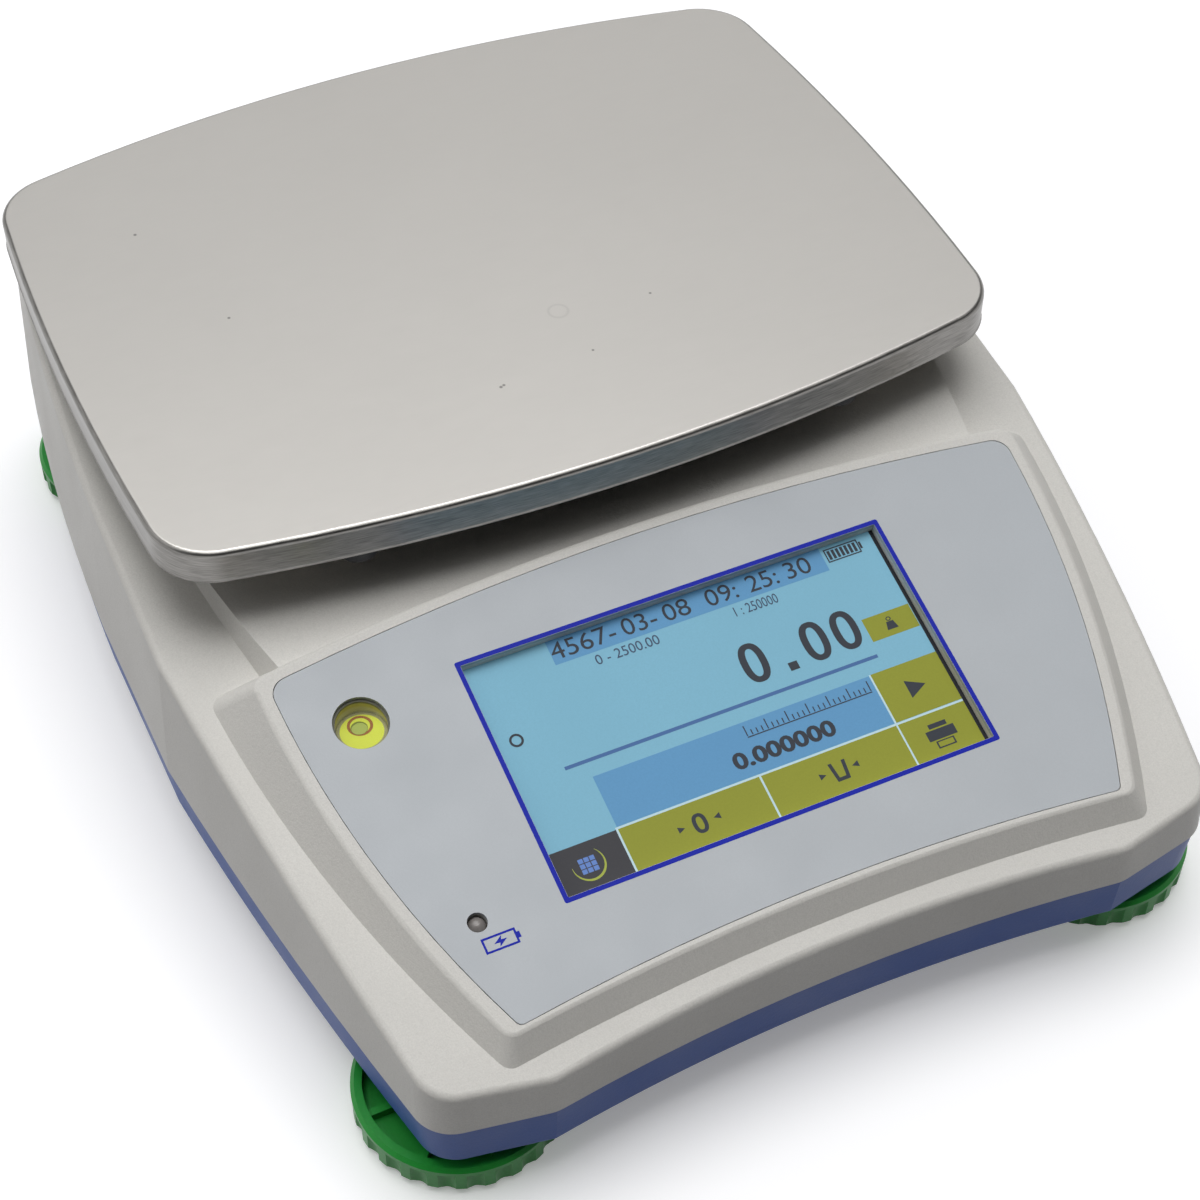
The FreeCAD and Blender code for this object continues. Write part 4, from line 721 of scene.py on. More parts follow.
def closed_shell(name: str, rings: Sequence[Sequence[Sequence[float]]]) -> Mesh:
    """Close a stack of rings of points, with a face at each end, into a smooth mesh."""
    form = bmesh.new()
    corners = [[form.verts.new(point) for point in ring] for ring in rings]
    join_rings(form, corners)
    form.faces.new(corners[0])
    form.faces.new(corners[-1])
    for face in form.faces:
        face.smooth = True
    return poured(name, form)


@dataclass(frozen=True)
class Slope:
    """The sloping console, with places measured across it and up along it."""

    front: float = -118.2 * MM
    height: float = 41.8 * MM
    tilt: float = SLOPE_TILT

    def seat(self, raised: float = 0.0) -> Matrix:
        """Give the placement of something drawn flat in the console's own measures."""
        turn = Matrix.Rotation(self.tilt, 4, "X")
        return Matrix.Translation((0.0, self.front, self.height)) @ turn @ Matrix.Translation((0.0, 0.0, raised))


class Print:
    """Thin closed plates of one ink, drawn flat in millimetres and then laid on a surface."""

    def __init__(self, name: str, thickness: float = 0.02) -> None:
        """Start with nothing drawn."""
        self.name = name
        self.thickness = thickness
        self.form = bmesh.new()

    def _rim(self, corners: Sequence[Point], height: float) -> list[bmesh.types.BMVert]:
        """Set the corners of an outline at a height."""
        return [self.form.verts.new((x * MM, y * MM, height * MM)) for x, y in corners]

    def plate(self, corners: Sequence[Point]) -> None:
        """Draw a plate inside an outline."""
        low, high = self._rim(corners, 0.0), self._rim(corners, self.thickness)
        self.form.faces.new(low[::-1])
        self.form.faces.new(high)
        join_rings(self.form, (low, high))

    def band(self, outer: Sequence[Point], inner: Sequence[Point]) -> None:
        """Draw a band between two outlines that have as many points."""
        levels = ((outer, 0.0), (inner, 0.0), (inner, self.thickness), (outer, self.thickness))
        rims = [self._rim(points, height) for points, height in levels]
        join_rings(self.form, rims + rims[:1])

    def words(self, text: str, box: Box, weight: float = 0.0) -> None:
        """Draw characters stretched to fill a box.

        Args:
            text: The characters.
            box: The box's left, right, lower and upper side.
            weight: How much bolder than the font they are, as a share of its size.
        """
        curve = bpy.data.curves.new(self.name, "FONT")
        curve.body = text
        curve.offset = weight
        curve.resolution_u = 4
        curve.extrude = self.thickness * MM / 2
        shape = drawn_off(placed(self.name, curve))
        xs, ys = ([vertex.co[axis] for vertex in shape.vertices] for axis in (0, 1))
        left, right, low, high = (side * MM for side in box)
        wide, tall = (right - left) / (max(xs) - min(xs)), (high - low) / (max(ys) - min(ys))
        shape.transform(
            Matrix.Translation((left, low, self.thickness * MM / 2))
            @ Matrix.Diagonal((wide, tall, 1.0, 1.0))
            @ Matrix.Translation((-min(xs), -min(ys), 0.0))
        )
        self.form.from_mesh(shape)
        bpy.data.curves.remove(curve)
        bpy.data.meshes.remove(shape)

    def lay(self, seat: Matrix, material: Material, body: str, slot: str) -> bpy.types.Object:
        """Lay the print on its surface.

        Args:
            seat: Where its flat drawing goes.
            material: The ink.
            body: The body that it rides.
            slot: The record's slot of the print; not used.

        Returns:
            The piece.
        """
        bmesh.ops.remove_doubles(self.form, verts=self.form.verts, dist=1e-8)
        shape = poured(self.name, self.form)
        shape.transform(seat)
        return settle(self.name, shape, material, body)


def separate_solids(node: str) -> list[list[Vector]]:
    """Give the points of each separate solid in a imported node."""
    form = bmesh.new()
    form.from_mesh(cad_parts[node].data)
    bmesh.ops.remove_doubles(form, verts=form.verts, dist=1e-7)
    waiting = set(form.verts)
    solids = []
    while waiting:
        front = [waiting.pop()]
        solid = []
        while front:
            vertex = front.pop()
            solid.append(vertex.co.copy())
            for edge in vertex.link_edges:
                other = edge.other_vert(vertex)
                if other in waiting:
                    waiting.remove(other)
                    front.append(other)
        solids.append(solid)
    form.free()
    return solids


class GeometryTree(Tree):
    """A geometry node tree with named inputs for its sizes."""

    def __init__(self, name: str, sizes: dict[str, float]) -> None:
        """Start a tree with its named sizes and a material."""
        self.group = bpy.data.node_groups.new(name, "GeometryNodeTree")
        super().__init__(self.group)
        inside = self.group.interface
        inside.new_socket("Geometry", in_out="INPUT", socket_type="NodeSocketGeometry")
        for label, size in sizes.items():
            inside.new_socket(label, in_out="INPUT", socket_type="NodeSocketFloat").default_value = size
        inside.new_socket("Material", in_out="INPUT", socket_type="NodeSocketMaterial")
        inside.new_socket("Geometry", in_out="OUTPUT", socket_type="NodeSocketGeometry")
        self.entry = self.add("NodeGroupInput").outputs

    def vector(self, across: Given = 0.0, along: Given = 0.0, up: Given = 0.0) -> Socket:
        """Join three values in a vector."""
        return self.add("ShaderNodeCombineXYZ", {0: across, 1: along, 2: up}).outputs[0]

    def raised(self, given: Socket, up: Socket) -> Socket:
        """Move a geometry upwards."""
        return self.add("GeometryNodeTransform", {"Geometry": given, "Translation": self.vector(up=up)}).outputs[0]

    def close(self, given: Socket) -> bpy.types.NodeTree:
        """End the tree with real geometry in its material."""
        real = self.add("GeometryNodeRealizeInstances", {0: given}).outputs[0]
        inputs = {"Geometry": real, "Material": self.entry["Material"]}
        self.add("NodeGroupOutput", {0: self.add("GeometryNodeSetMaterial", inputs).outputs[0]})
        return self.group


def grown(name: str, tree: bpy.types.NodeTree, seeds: Mesh, sizes: dict[str, float], material: Material) -> Mesh:
    """Run a geometry tree over its seed mesh.

    Args:
        name: The name of what is made.
        tree: The geometry tree.
        seeds: The mesh that it starts from.
        sizes: The tree's named sizes.
        material: The finish of what is made.

    Returns:
        A plain mesh.
    """
    carrier = placed(name + "_seeds", seeds)
    modifier = carrier.modifiers.new(name, "NODES")
    modifier.node_group = tree
    values = {**sizes, "Material": material}
    for item in tree.interface.items_tree:
        if item.in_out == "INPUT" and item.name in values:
            modifier[item.identifier] = values[item.name]
    shape = drawn_off(carrier)
    shape.name = name
    bpy.data.meshes.remove(seeds)
    return shape


SCREW_SIZES = {
    "Head Radius": 2.8 * MM,
    "Head Height": 2.0 * MM,
    "Shank Radius": 1.5 * MM,
    "Reach": 12.0 * MM,
    "Pitch": 0.7 * MM,
}


def screw_tree() -> bpy.types.NodeTree:
    """Build the tree that sets a cross-recessed screw at each point, head up along its turn."""
    tree = GeometryTree("cross_screw", SCREW_SIZES)
    radius, height, shank_radius, reach, pitch = (tree.entry[label] for label in SCREW_SIZES)
    head = tree.add("GeometryNodeMeshCylinder", {
        "Vertices": 28, "Side Segments": 1, "Fill Segments": 4, "Radius": radius, "Depth": height,
    }).outputs["Mesh"]
    across, along, up = tree.parts(tree.add("GeometryNodeInputPosition").outputs[0])
    around = tree.sum("SQRT", tree.sum("ADD", *(tree.sum("POWER", part, 2.0) for part in (across, along))))
    share = tree.sum("POWER", tree.sum("DIVIDE", around, radius), 3.0)
    domed = tree.add("GeometryNodeSetPosition", {
        "Geometry": head,
        "Selection": tree.sum("GREATER_THAN", up, 0.0),
        "Offset": tree.vector(up=tree.times(tree.times(share, height), -0.35)),
    }).outputs[0]
    arm, slot = tree.times(radius, 1.1), tree.times(radius, 0.24)
    bars = [
        tree.add("GeometryNodeMeshCube", {"Size": tree.vector(*size, height)}).outputs[0]
        for size in ((arm, slot), (slot, arm))
    ]
    cutters = [tree.raised(bar, tree.times(height, 0.62)) for bar in bars]
    recessed = tree.add("GeometryNodeMeshBoolean", {"Mesh 1": domed, "Mesh 2": cutters}, operation="DIFFERENCE")
    seated = tree.raised(recessed.outputs["Mesh"], tree.times(height, -0.5))
    core = tree.times(shank_radius, 0.82)
    length = tree.sum("SUBTRACT", reach, height)
    bar = tree.add("GeometryNodeMeshCylinder", {"Vertices": 16, "Radius": core, "Depth": length}).outputs["Mesh"]
    shank = tree.raised(bar, tree.sum("SUBTRACT", tree.times(length, -0.5), height))
    threaded = tree.times(length, 0.94)
    helix = tree.add("GeometryNodeCurveSpiral", {
        "Resolution": 14, "Rotations": tree.sum("DIVIDE", threaded, pitch),
        "Start Radius": core, "End Radius": core, "Height": threaded,
    }).outputs[0]
    crest = {"Resolution": 3, "Radius": tree.times(shank_radius, 0.17)}
    ridge = tree.add("GeometryNodeCurveToMesh", {
        "Curve": helix, "Profile Curve": tree.add("GeometryNodeCurvePrimitiveCircle", crest).outputs[0],
        "Fill Caps": True,
    }).outputs[0]
    thread = tree.raised(ridge, tree.times(reach, -0.985))
    screw = tree.add("GeometryNodeJoinGeometry", {0: [seated, shank, thread]}).outputs[0]
    chance = tree.add("FunctionNodeRandomValue", {"Max": (0.0, 0.0, math.pi), "Seed": 7}, data_type="FLOAT_VECTOR")
    turn = tree.add("GeometryNodeInputNamedAttribute", {"Name": "turn"}, data_type="FLOAT_VECTOR")
    turns = [tree.add("FunctionNodeEulerToRotation", {0: node.outputs[0]}).outputs[0] for node in (turn, chance)]
    stood = tree.add("FunctionNodeRotateRotation", dict(enumerate(turns)), rotation_space="LOCAL").outputs[0]
    spread = tree.add("GeometryNodeInstanceOnPoints", {
        "Points": tree.entry["Geometry"], "Instance": screw, "Rotation": stood,
    }).outputs[0]
    return tree.close(spread)


class Facing(Enum):
    """Which way a screw's head looks, as the turn from looking up."""

    UP = (0.0, 0.0, 0.0)
    DOWN = (math.pi, 0.0, 0.0)
    UNDER_SLOPE = (math.pi + SLOPE_TILT, 0.0, 0.0)


@dataclass
class PressedPan:
    """The steel pan with the tight fold, the flared lower edge and the sheet of the real pressing."""

    node: str = "weighing_pan"
    fold: float = 1.2 * MM
    fold_steps: int = 8
    sheet: float = 1.0 * MM
    flare: float = 0.25 * MM
    flare_height: float = 0.7 * MM
    knee: float = 0.35
    lip: Point = (0.1 * MM, 0.12 * MM)
    margin: float = 2 * MM
    run_in: float = 0.2 * MM
    shortest: float = 0.3 * MM
    level: float = 0.02 * MM

    def _outline(self) -> tuple[list[Vector], list[Vector]]:
        """Give the pan's outer outline and, for each of its points, the way inwards."""
        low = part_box(self.node)[0][2]
        spots = [v.co.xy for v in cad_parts[self.node].data.vertices if v.co.z < low + self.level]
        hull = [spots[at] for at in geometry.convex_hull_2d(spots)]
        rim = [spot for here, spot in enumerate(hull) if (spot - hull[here - 1]).length > self.shortest]
        inwards = []
        for here, spot in enumerate(rim):
            before = (spot - rim[here - 1]).normalized()
            after = (rim[(here + 1) % len(rim)] - spot).normalized()
            way = Vector((-(before + after).y, (before + after).x)).normalized()
            inwards.append(way / max(0.5, Vector((-after.y, after.x)).dot(way)))
        return rim, inwards

    def _profile(self, low: float, top: float) -> list[Point]:
        """Give the section from the top's middle round the fold and back along the inside."""
        turns = [math.pi / 2 * step / self.fold_steps for step in range(self.fold_steps + 1)]
        outer, inner = self.fold + self.flare, self.sheet + self.flare
        return [
            (outer + self.margin, top),
            (outer + self.run_in, top),
            *((outer - self.fold * math.sin(t), top - self.fold * (1 - math.cos(t))) for t in turns),
            (self.flare, low + self.flare_height),
            (self.lip[1], low + self.knee * self.flare_height),
            (0.0, low + self.lip[1]),
            (self.lip[0], low),
            (self.sheet, low),
            (inner, low + self.flare_height),
            (inner, top - 2 * self.sheet),
            (inner + self.sheet, top - self.sheet),
            (outer + self.margin, top - self.sheet),
        ]

    def build(self, wardrobe: Wardrobe) -> bpy.types.Object:
        """Sweep the section round the outline and close both faces."""
        (_, _, low), (_, _, top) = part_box(self.node)
        rim, inwards = self._outline()
        rings = [
            [(*(spot + way * inset), height) for spot, way in zip(rim, inwards)]
            for inset, height in self._profile(low, top)
        ]
        shape = closed_shell(self.node + "_pressed", rings)
        piece = settle(self.node + "_pressed", shape, wardrobe.hang("pan_steel"), "pan")
        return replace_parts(piece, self.node)


@dataclass(frozen=True)
class Screws:
    """One packed group of screws, in millimetres, made with its threads and recesses."""

    node: str
    facing: Facing
    head: float
    head_height: float
    shank: float
    pitch: float

    def build(self, tree: bpy.types.NodeTree, wardrobe: Wardrobe) -> bpy.types.Object:
        """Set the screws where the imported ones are.

        Args:
            tree: The screw's geometry tree.
            wardrobe: The materials.

        Returns:
            The piece that stands for the group.
        """
        turn = Euler(self.facing.value).to_matrix()
        spots, reach = [], 0.0
        for solid in separate_solids(self.node):
            upright = [turn.inverted() @ point for point in solid]
            sides = [[point[axis] for point in upright] for axis in range(3)]
            middle = [(min(side) + max(side)) / 2 for side in sides]
            spots.append(turn @ Vector((middle[0], middle[1], max(sides[2]))))
            reach = max(sides[2]) - min(sides[2])
        seeds = bpy.data.meshes.new(self.node)
        seeds.from_pydata(spots, [], [])
        marks = seeds.attributes.new("turn", "FLOAT_VECTOR", "POINT")
        for mark in marks.data:
            mark.vector = self.facing.value
        sizes = (self.head * MM, self.head_height * MM, self.shank * MM, reach, self.pitch * MM)
        material = wardrobe.hang("zinc_steel")
        shape = grown(self.node + "_cut", tree, seeds, dict(zip(SCREW_SIZES, sizes)), material)
        piece = settle(self.node + "_cut", shape, material, "housing")
        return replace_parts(piece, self.node)


@dataclass
class Hardware:
    """All the screws of the balance."""

    groups: tuple[Screws, ...] = (
        Screws("housing_screws", Facing.DOWN, 2.8, 2.0, 1.5, 1.1),
        Screws("battery_door_screws", Facing.DOWN, 2.8, 1.0, 1.5, 1.1),
        Screws("chassis_screws", Facing.UP, 2.8, 2.0, 1.5, 1.1),
        Screws("main_board_screws", Facing.UP, 2.8, 2.0, 1.5, 1.1),
        Screws("support_screws", Facing.UP, 4.25, 3.0, 2.5, 0.8),
        Screws("load_cell_screws", Facing.DOWN, 4.25, 4.0, 2.5, 0.8),
        Screws("display_screws", Facing.UNDER_SLOPE, 2.4, 1.6, 1.05, 0.8),
    )

    def build(self, wardrobe: Wardrobe) -> None:
        """Make each group with the same tree."""
        tree = screw_tree()
        for group in self.groups:
            group.build(tree, wardrobe)


class Shade(Enum):
    """The colours of the lit picture and of the prints around it."""

    GROUND = tone(124, 177, 200)
    BAND = tone(94, 148, 190)
    KEY = tone(140, 144, 50)
    DARK_KEY = tone(62, 62, 66)
    PALE = tone(186, 212, 220)
    RULE = tone(72, 106, 156)
    TEXT = tone(54, 58, 66)
    SMALL = tone(66, 80, 104)
    MENU = tone(100, 132, 196)
    CRESCENT = tone(158, 168, 74)
    FRAME = tone(14, 32, 168)
    RED = tone(152, 84, 26)


PICTURE_BLOCKS: dict[Shade, tuple[Box, ...]] = {
    Shade.GROUND: ((-49.0, 47.4, 20.2, 75.2),),
    Shade.BAND: ((-29.2, 35.1, 69.0, 75.2), (-32.5, 31.2, 31.5, 43.25)),
    Shade.RULE: ((-37.0, 35.25, 46.5, 47.3),),
    Shade.PALE: (
        (-32.95, 47.4, 30.95, 31.4),
        (-32.95, -32.5, 20.2, 30.95),
        (-0.8, -0.35, 20.2, 30.95),
        (31.25, 31.65, 20.2, 30.95),
        (31.25, 31.65, 31.4, 43.4),
    ),
    Shade.KEY: (
        (35.9, 47.25, 50.1, 55.75),
        (31.65, 47.4, 31.5, 43.4),
        (31.65, 47.4, 20.2, 30.95),
        (-32.5, -0.8, 20.2, 30.95),
        (-0.35, 31.25, 20.2, 30.95),
    ),
    Shade.DARK_KEY: ((-49.0, -32.95, 20.2, 30.95),),
}


@dataclass(frozen=True)
class Label:
    """Characters that fill a box of the picture."""

    text: str
    box: Box
    shade: Shade = Shade.TEXT
    weight: float = 0.0


PICTURE_LABELS = (
    Label("4567-", (-29.0, -14.4, 70.0, 74.0)),
    Label("03-", (-12.75, -4.9, 70.0, 74.0)),
    Label("08", (-3.2, 2.9, 70.0, 74.0)),
    Label("09:", (6.8, 14.0, 70.0, 74.0)),
    Label("25:", (16.6, 23.7, 70.0, 74.0)),
    Label("30", (25.75, 31.7, 70.0, 74.0)),
    Label("0 - 2500.00", (-21.0, -6.5, 65.9, 68.2), Shade.SMALL),
    Label("1 : 250000", (11.25, 21.4, 65.9, 68.2), Shade.SMALL),
    Label("0.000000", (-4.4, 19.1, 33.6, 37.4), weight=0.035),
)


@dataclass
class DisplayPicture:
    """The lit picture that the touch screen shows: numbers, keys and signs, laid out in millimetres."""

    depth: float = 2.5
    glow: float = 0.12
    zero: Point = (1.6, 1.3)
    made: dict[Shade, Print] = field(default_factory=dict)

    def ink(self, shade: Shade) -> Print:
        """Give the print of a colour."""
        if shade not in self.made:
            self.made[shade] = Print("display_" + shade.name.lower())
        return self.made[shade]

    def _ring(self, middle: Point, half: Point, stroke: Point, power: float = 2.4) -> None:
        """Draw an upright ring, such as a zero, with its own strokes at the sides and the top."""
        inner = (half[0] - stroke[0], half[1] - stroke[1])
        self.ink(Shade.TEXT).band(outline_oval(middle, half, power), outline_oval(middle, inner, power))

    def _reading(self) -> None:
        """Draw the large reading, its point and the ring mark at the left."""
        for left, right in ((7.0, 12.75), (21.4, 27.15), (28.7, 34.5)):
            self._ring(((left + right) / 2, 54.8), ((right - left) / 2, 4.65), self.zero)
        self.ink(Shade.TEXT).plate(outline_box(16.4, 18.5, 50.2, 52.1))
        self._ring((-43.6, 56.2), (1.5, 1.5), (0.5, 0.5), 2.0)

    def _menu(self) -> None:
        """Draw the menu key's nine squares and the crescent round them."""
        squares = self.ink(Shade.MENU)
        for column in range(3):
            for row in range(3):
                left, low = -42.9 + 1.25 * column, 24.5 + 1.17 * row
                squares.plate(outline_box(left, left + 1.05, low, low + 0.98))
        outer, inner = [], []
        for step in range(25):
            share = step / 24
            angle = math.radians(-185 + 235 * share)
            thickness = 0.08 + 0.42 * math.sin(math.pi * share)
            for points, radius in ((outer, 3.55), (inner, 3.55 - thickness)):
                points.append((-41.0 + radius * math.cos(angle), 26.2 + radius * math.sin(angle)))
        self.ink(Shade.CRESCENT).plate(outer + inner[::-1])

    def _key_signs(self) -> None:
        """Draw the signs of the olive keys: a zero, a cup, a start arrow, a printer and a weight."""
        text = self.ink(Shade.TEXT)
        self._ring((-16.45, 26.1), (1.55, 2.2), (0.85, 0.75))
        text.plate([(13.6, 28.2), (14.1, 23.9), (17.0, 23.9), (17.5, 28.2),
                    (16.7, 28.2), (16.3, 24.7), (14.8, 24.7), (14.4, 28.2)])
        for left, right in ((-21.3, -11.9), (10.9, 19.9)):
            text.plate([(left, 25.5), (left + 1.5, 26.2), (left, 26.9)])
            text.plate([(right, 25.5), (right, 26.9), (right - 1.5, 26.2)])
        text.plate([(37.6, 35.4), (41.8, 37.5), (37.6, 39.6)])
        text.plate(outline_box(36.2, 42.8, 24.9, 27.2))
        text.plate(outline_box(37.4, 41.6, 27.55, 28.6))
        text.band(outline_box(37.4, 41.6, 22.9, 24.6), outline_box(37.75, 41.25, 23.2, 24.35))
        text.plate([(40.2, 51.5), (42.8, 51.5), (42.3, 53.4), (40.7, 53.4)])
        self._ring((41.5, 54.0), (0.6, 0.5), (0.25, 0.22), 2.0)

    def _scale(self) -> None:
        """Draw the graduated bar over the second value."""
        text = self.ink(Shade.TEXT)
        left, right, line, steps = 1.0, 30.2, 0.25, 24
        text.plate(outline_box(left, right, 39.6, 39.85))
        for step in range(steps + 1):
            mark = left + step * (right - left - line) / steps
            text.plate(outline_box(mark, mark + line, 40.0, 42.4 if step % 4 == 0 else 41.2))

    def _battery(self) -> None:
        """Draw the battery sign."""
        text = self.ink(Shade.TEXT)
        text.band(outline_box(35.8, 43.9, 70.6, 73.9), outline_box(36.1, 43.6, 70.9, 73.6))
        text.plate(outline_box(44.0, 44.5, 71.4, 73.1))
        for step in range(7):
            left = 36.4 + 1.02 * step
            text.plate(outline_box(left, left + 0.66, 71.15, 73.35))

    def build(self, slope: Slope, wardrobe: Wardrobe) -> None:
        """Draw the picture and lay its inks over one another on the touch screen.

        Args:
            slope: The console.
            wardrobe: The materials.
        """
        for shade, boxes in PICTURE_BLOCKS.items():
            for box in boxes:
                self.ink(shade).plate(outline_box(*box))
        for label in PICTURE_LABELS:
            self.ink(label.shade).words(label.text, label.box, label.weight)
        self._reading()
        self._menu()
        self._key_signs()
        self._scale()
        self._battery()
        for shade, layer in self.made.items():
            level = 0 if shade is Shade.GROUND else 1 if shade in PICTURE_BLOCKS else 2
            material = wardrobe.hang(layer.name, Ink(shade.value, glow=self.glow))
            layer.lay(slope.seat((level * layer.thickness - self.depth) * MM), material, "housing", "display")


@dataclass
class PanelPrint:
    """What is printed on the front panel, in millimetres: the window's frame and the charge sign."""

    width: float = 96.6
    depth: float = 54.2
    line: float = 1.05
    gap: float = 0.1
    middle: Point = (0.0, 47.6)

    def _frame(self, layer: Print) -> None:
        """Draw the frame round the window."""
        outer = outline_round(self.middle, self.width + 2 * self.line, self.depth + 2 * self.line, 0.5)
        layer.band(outer, outline_round(self.middle, self.width + self.gap, self.depth + self.gap, 0.3))

    def _charge_sign(self, layer: Print) -> None:
        """Draw a battery with a bolt in it beside the lamp."""
        layer.band(outline_box(-67.7, -60.6, 15.5, 18.8), outline_box(-67.25, -61.05, 15.95, 18.35))
        layer.plate(outline_box(-60.6, -60.0, 16.5, 17.8))
        layer.plate([(-64.6, 16.1), (-62.7, 17.35), (-63.9, 17.45), (-63.6, 18.25), (-65.5, 17.0), (-64.3, 16.9)])

    def build(self, slope: Slope, wardrobe: Wardrobe) -> None:
        """Print the frame and the sign.

        Args:
            slope: The console.
            wardrobe: The materials.
        """
        ink = wardrobe.hang("frame_ink", Ink(Shade.FRAME.value))
        for name, draw in (("panel_frame_print", self._frame), ("charge_sign_print", self._charge_sign)):
            layer = Print(name)
            draw(layer)
            layer.lay(slope.seat(), ink, "housing", "panel_film")


@dataclass
class RockerMarks:
    """The two marks on the faces of the rocker, a bar and a ring, in millimetres."""

    height: float = 39.5
    thickness: float = 0.05
    line: float = 0.5
    ring: float = 1.7
    bar: float = 2.0
    bar_face: tuple[float, float, float] = (53.57, 123.35, 15.7)
    ring_face: tuple[float, float, float] = (46.21, 122.33, 0.6)

    def _seat(self, across: float, along: float, turn: float) -> Matrix:
        """Give the place of a mark that is read from behind.

        Args:
            across: Where the face is, across the balance.
            along: Where it is, along the balance.
            turn: How far it is turned about the upright, in degrees.

        Returns:
            The place.
        """
        spin = Matrix.Rotation(math.radians(180.0 + turn), 4, "Z") @ Matrix.Rotation(math.radians(90.0), 4, "X")
        return Matrix.Translation(Vector((across, along, self.height)) * MM) @ spin

    def build(self, wardrobe: Wardrobe) -> None:
        """Print both marks on the rocker."""
        ink = wardrobe.hang("rocker_ink", Ink(tone(226, 226, 222)))
        bar = Print("rocker_bar_print", self.thickness)
        bar.plate(outline_box(-self.line / 2, self.line / 2, -self.bar, self.bar))
        bar.lay(self._seat(*self.bar_face), ink, "rocker", "rocker_black")
        ring = Print("rocker_ring_print", self.thickness)
        rims = [outline_oval((0.0, 0.0), (radius, radius)) for radius in (self.ring, self.ring - self.line)]
        ring.band(*rims)
        ring.lay(self._seat(*self.ring_face), ink, "rocker", "rocker_black")


@dataclass
class LevelVial:
    """The glass and liquid of the level, its printed ring and the bubble under it, in millimetres."""

    place: tuple[float, float, float] = (-71.8, -50.7, 57.7)
    bevel: float = 0.4
    clearance: float = 0.05
    steps: int = 72
    crease: float = math.radians(30)
    ring: float = 2.65
    ring_line: float = 0.62
    ring_spot: Point = (0.2, 1.55)
    bubble: float = 1.75
    bubble_spot: Point = (-0.18, 1.02)
    light: Point = (1.6, 1.5)
    light_spot: Point = (-0.18, 0.86)
    light_gap: float = 0.02

    def _turned(self, node: str, slot: str, bevel: float, clearance: float, wardrobe: Wardrobe) -> None:
        """Turn one round piece anew, with an even face on its top.

        Args:
            node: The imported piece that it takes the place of.
            slot: The record's slot of its finish.
            bevel: The bevel round its top, in metres.
            clearance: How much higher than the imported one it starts, in metres.
            wardrobe: The materials.
        """
        (left, front, low), (right, rear, high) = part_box(node)
        middle, radius = Vector(((left + right) / 2, (front + rear) / 2)), (right - left) / 2
        section = [(radius, low + clearance), (radius, high - bevel)]
        section += [(radius - bevel, high)] if bevel else []
        turns = [2 * math.pi * step / self.steps for step in range(self.steps)]
        rings = [
            [(middle.x + out * math.cos(t), middle.y + out * math.sin(t), up) for t in turns] for out, up in section
        ]
        shape = closed_shell(node + "_turned", rings)
        shape.set_sharp_from_angle(angle=self.crease)
        piece = settle(node + "_turned", shape, wardrobe.hang(slot), "housing")
        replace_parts(piece, node)

    def _ring(self) -> Print:
        """Draw the ring on the glass."""
        layer = Print("vial_ring_print")
        layer.band(*(outline_oval(self.ring_spot, (out, out)) for out in (self.ring, self.ring - self.ring_line)))
        return layer

    def _rim(self) -> Print:
        """Draw the painted shade round the rim of the bubble."""
        layer = Print("vial_bubble_rim", 0.05)
        inner = (self.light[0] + self.light_gap, self.light[1] + self.light_gap)
        layer.band(outline_oval(self.bubble_spot, (self.bubble, self.bubble)), outline_oval(self.light_spot, inner))
        return layer

    def _light(self) -> Print:
        """Draw the light inside of the bubble."""
        layer = Print("vial_bubble_light", 0.03)
        layer.plate(outline_oval(self.light_spot, self.light))
        return layer

    def build(self, wardrobe: Wardrobe) -> None:
        """Turn the glass and the liquid, print the ring and set the bubble."""
        self._turned("vial_liquid", "vial_fluid", 0.0, 0.0, wardrobe)
        self._turned("vial_lens", "vial_glass", self.bevel * MM, self.clearance * MM, wardrobe)
        seat = Matrix.Translation(Vector(self.place) * MM)
        self._ring().lay(seat, wardrobe.hang("ring_ink", Ink(Shade.RED.value)), "housing", "vial_glass")
        # The bubble's dark rim is a painted shade, where light bends at its edge.
        self._rim().lay(seat, wardrobe.hang("bubble_rim", Ink(tone(112, 124, 44))), "housing", "vial_fluid")
        self._light().lay(seat, wardrobe.hang("bubble_light", Ink(tone(168, 182, 84))), "housing", "vial_fluid")


@dataclass(frozen=True)
class SoftBox:
    """One broad soft light of the sky."""

    azimuth: float
    elevation: float
    tightness: float
    level: float

    @property
    def way(self) -> Vector:
        """Give the direction towards the light, with azimuth 0 at the right and 90 at the back."""
        turn, rise = math.radians(self.azimuth), math.radians(self.elevation)
        return Vector((math.cos(rise) * math.cos(turn), math.cos(rise) * math.sin(turn), math.sin(rise)))


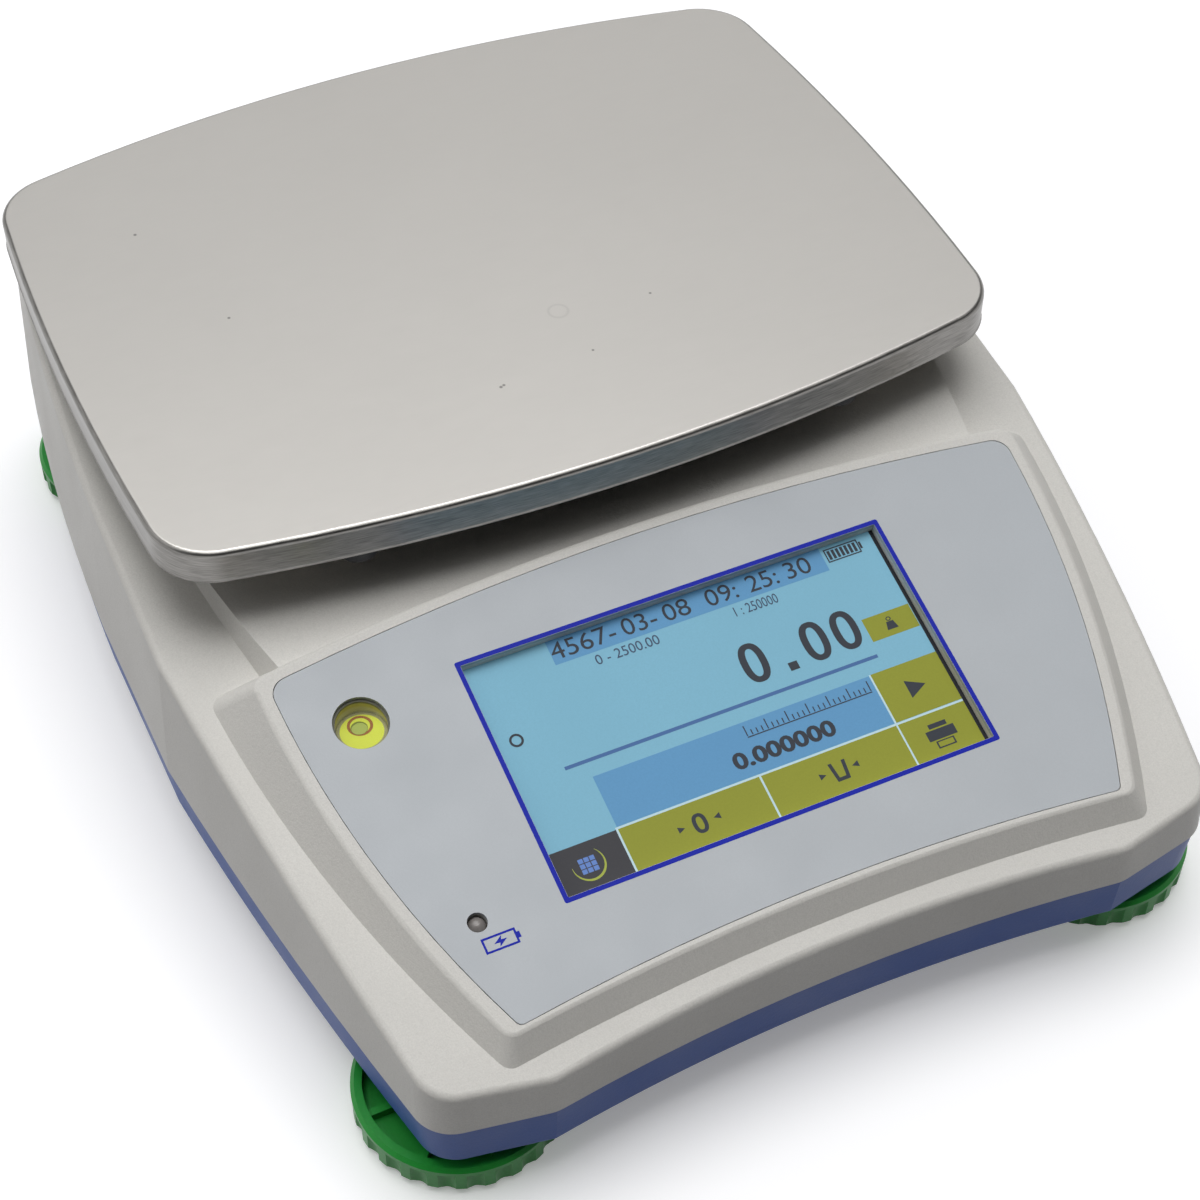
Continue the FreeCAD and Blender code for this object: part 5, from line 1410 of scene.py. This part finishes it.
@dataclass
class Studio:
    """The camera, floor, sky and lamp around the balance."""

    eye: Vector = field(default_factory=lambda: Vector((-165.75, -355.13, 432.22)) * MM)
    right: Vector = field(default_factory=lambda: Vector((0.9038494, -0.4278024, 0.0064362)))
    up: Vector = field(default_factory=lambda: Vector((0.3078349, 0.6606856, 0.6846402)))
    back: Vector = field(default_factory=lambda: Vector((-0.297143, -0.6168303, 0.7288528)))
    lens: float = 73.13
    sensor: float = 36.0
    nearest: float = 0.01
    boxes: tuple[SoftBox, ...] = (
        SoftBox(0, 74, 14, 1.9),
        SoftBox(150, 42, 8, 1.35),
        SoftBox(64, 42, 8, 0.56),
        SoftBox(110, 42, 8, 0.12),
        SoftBox(180, 74, 14, 0.16),
    )
    horizon: Point = (0.2, 0.42)
    lamp: SoftBox = SoftBox(90, 82, 0, 1.42)
    lamp_spread: float = math.radians(46)
    floor_half: float = 6.0
    floor_colour: Colour = (0.85, 0.85, 0.86)
    floor_bounce: Colour = (0.38, 0.38, 0.39)
    floor_glow: float = 0.26

    def _camera(self) -> None:
        """Set the camera at the photograph's viewing angle."""
        lens = bpy.data.cameras.new("camera")
        lens.lens = self.lens
        lens.sensor_width = self.sensor
        lens.sensor_fit = "HORIZONTAL"
        lens.clip_start = self.nearest
        camera = placed("camera", lens)
        turn = Matrix((self.right, self.up, self.back)).transposed().to_4x4()
        camera.matrix_world = Matrix.Translation(self.eye) @ turn
        bpy.context.scene.camera = camera

    def _seen(self, graph: Graph) -> Socket:
        """Give 1 for the rays that show the surroundings, straight, mirrored or through glass."""
        rays = graph.add("ShaderNodeLightPath").outputs
        mirrored = graph.sum("MAXIMUM", rays["Is Glossy Ray"], rays["Is Transmission Ray"])
        return graph.sum("MAXIMUM", rays["Is Camera Ray"], mirrored)

    def _floor(self) -> None:
        """Lay a pale floor that keeps shadows and looks white away from them, and is clear from below."""
        shape = bpy.data.meshes.new("floor")
        corners = outline_box(-self.floor_half, self.floor_half, -self.floor_half, self.floor_half)
        shape.from_pydata([(*corner, 0.0) for corner in corners], [], [(0, 1, 2, 3)])
        graph = Graph(bpy.data.materials.new("floor_paper"))
        seen = self._seen(graph)
        colour = graph.blend(seen, self.floor_bounce, self.floor_colour)
        matt = graph.add("ShaderNodeBsdfDiffuse", {"Color": colour}).outputs[0]
        glow = graph.add("ShaderNodeEmission", {"Strength": graph.times(seen, self.floor_glow)}).outputs[0]
        both = graph.add("ShaderNodeAddShader", {0: matt, 1: glow}).outputs[0]
        behind = graph.add("ShaderNodeNewGeometry").outputs["Backfacing"]
        clear = graph.add("ShaderNodeBsdfTransparent").outputs[0]
        paper = graph.add("ShaderNodeMixShader", {0: behind, 1: both, 2: clear}).outputs[0]
        graph.add("ShaderNodeOutputMaterial", {"Surface": paper})
        shape.materials.append(graph.holder)
        floor = placed("floor", shape)

    def _sky(self) -> None:
        """Surround the scene with the soft boxes, over a white horizon that only shows."""
        graph = Graph(bpy.data.worlds.new("studio"))
        way = graph.add("ShaderNodeTexCoord").outputs["Generated"]
        glow = None
        for box in self.boxes:
            toward = graph.sum("MAXIMUM", graph.vector("DOT_PRODUCT", way, box.way, value=True), 0.0)
            share = graph.times(graph.sum("POWER", toward, box.tightness), box.level)
            glow = share if glow is None else graph.sum("ADD", glow, share)
        white = graph.times(graph.within(graph.parts(way)[2], *self.horizon), self._seen(graph))
        strength = graph.sum("MAXIMUM", glow, white)
        light = graph.add("ShaderNodeBackground", {"Color": (1.0, 1.0, 1.0, 1.0), "Strength": strength}).outputs[0]
        graph.add("ShaderNodeOutputWorld", {"Surface": light})
        bpy.context.scene.world = graph.holder

    def _lamp(self) -> None:
        """Hang one broad soft lamp high over the back."""
        light = bpy.data.lights.new("soft_lamp", "SUN")
        light.energy = self.lamp.level
        light.angle = self.lamp_spread
        lamp = placed("soft_lamp", light)
        lamp.matrix_world = self.lamp.way.to_track_quat("Z", "Y").to_matrix().to_4x4()

    def build(self) -> None:
        """Set up the whole studio."""
        self._camera()
        self._floor()
        self._sky()
        self._lamp()
        bpy.context.scene.view_settings.view_transform = "Standard"


def main() -> None:
    """Build the studio and dress the balance."""
    logging.basicConfig(level=logging.INFO, format="%(message)s")
    wardrobe = Wardrobe()
    slope = Slope()
    Studio().build()
    wardrobe.dress_nodes()
    DisplayPicture().build(slope, wardrobe)
    PanelPrint().build(slope, wardrobe)
    LevelVial().build(wardrobe)
    RockerMarks().build(wardrobe)
    PressedPan().build(wardrobe)
    Hardware().build(wardrobe)


if __name__ == "__main__":
    main()
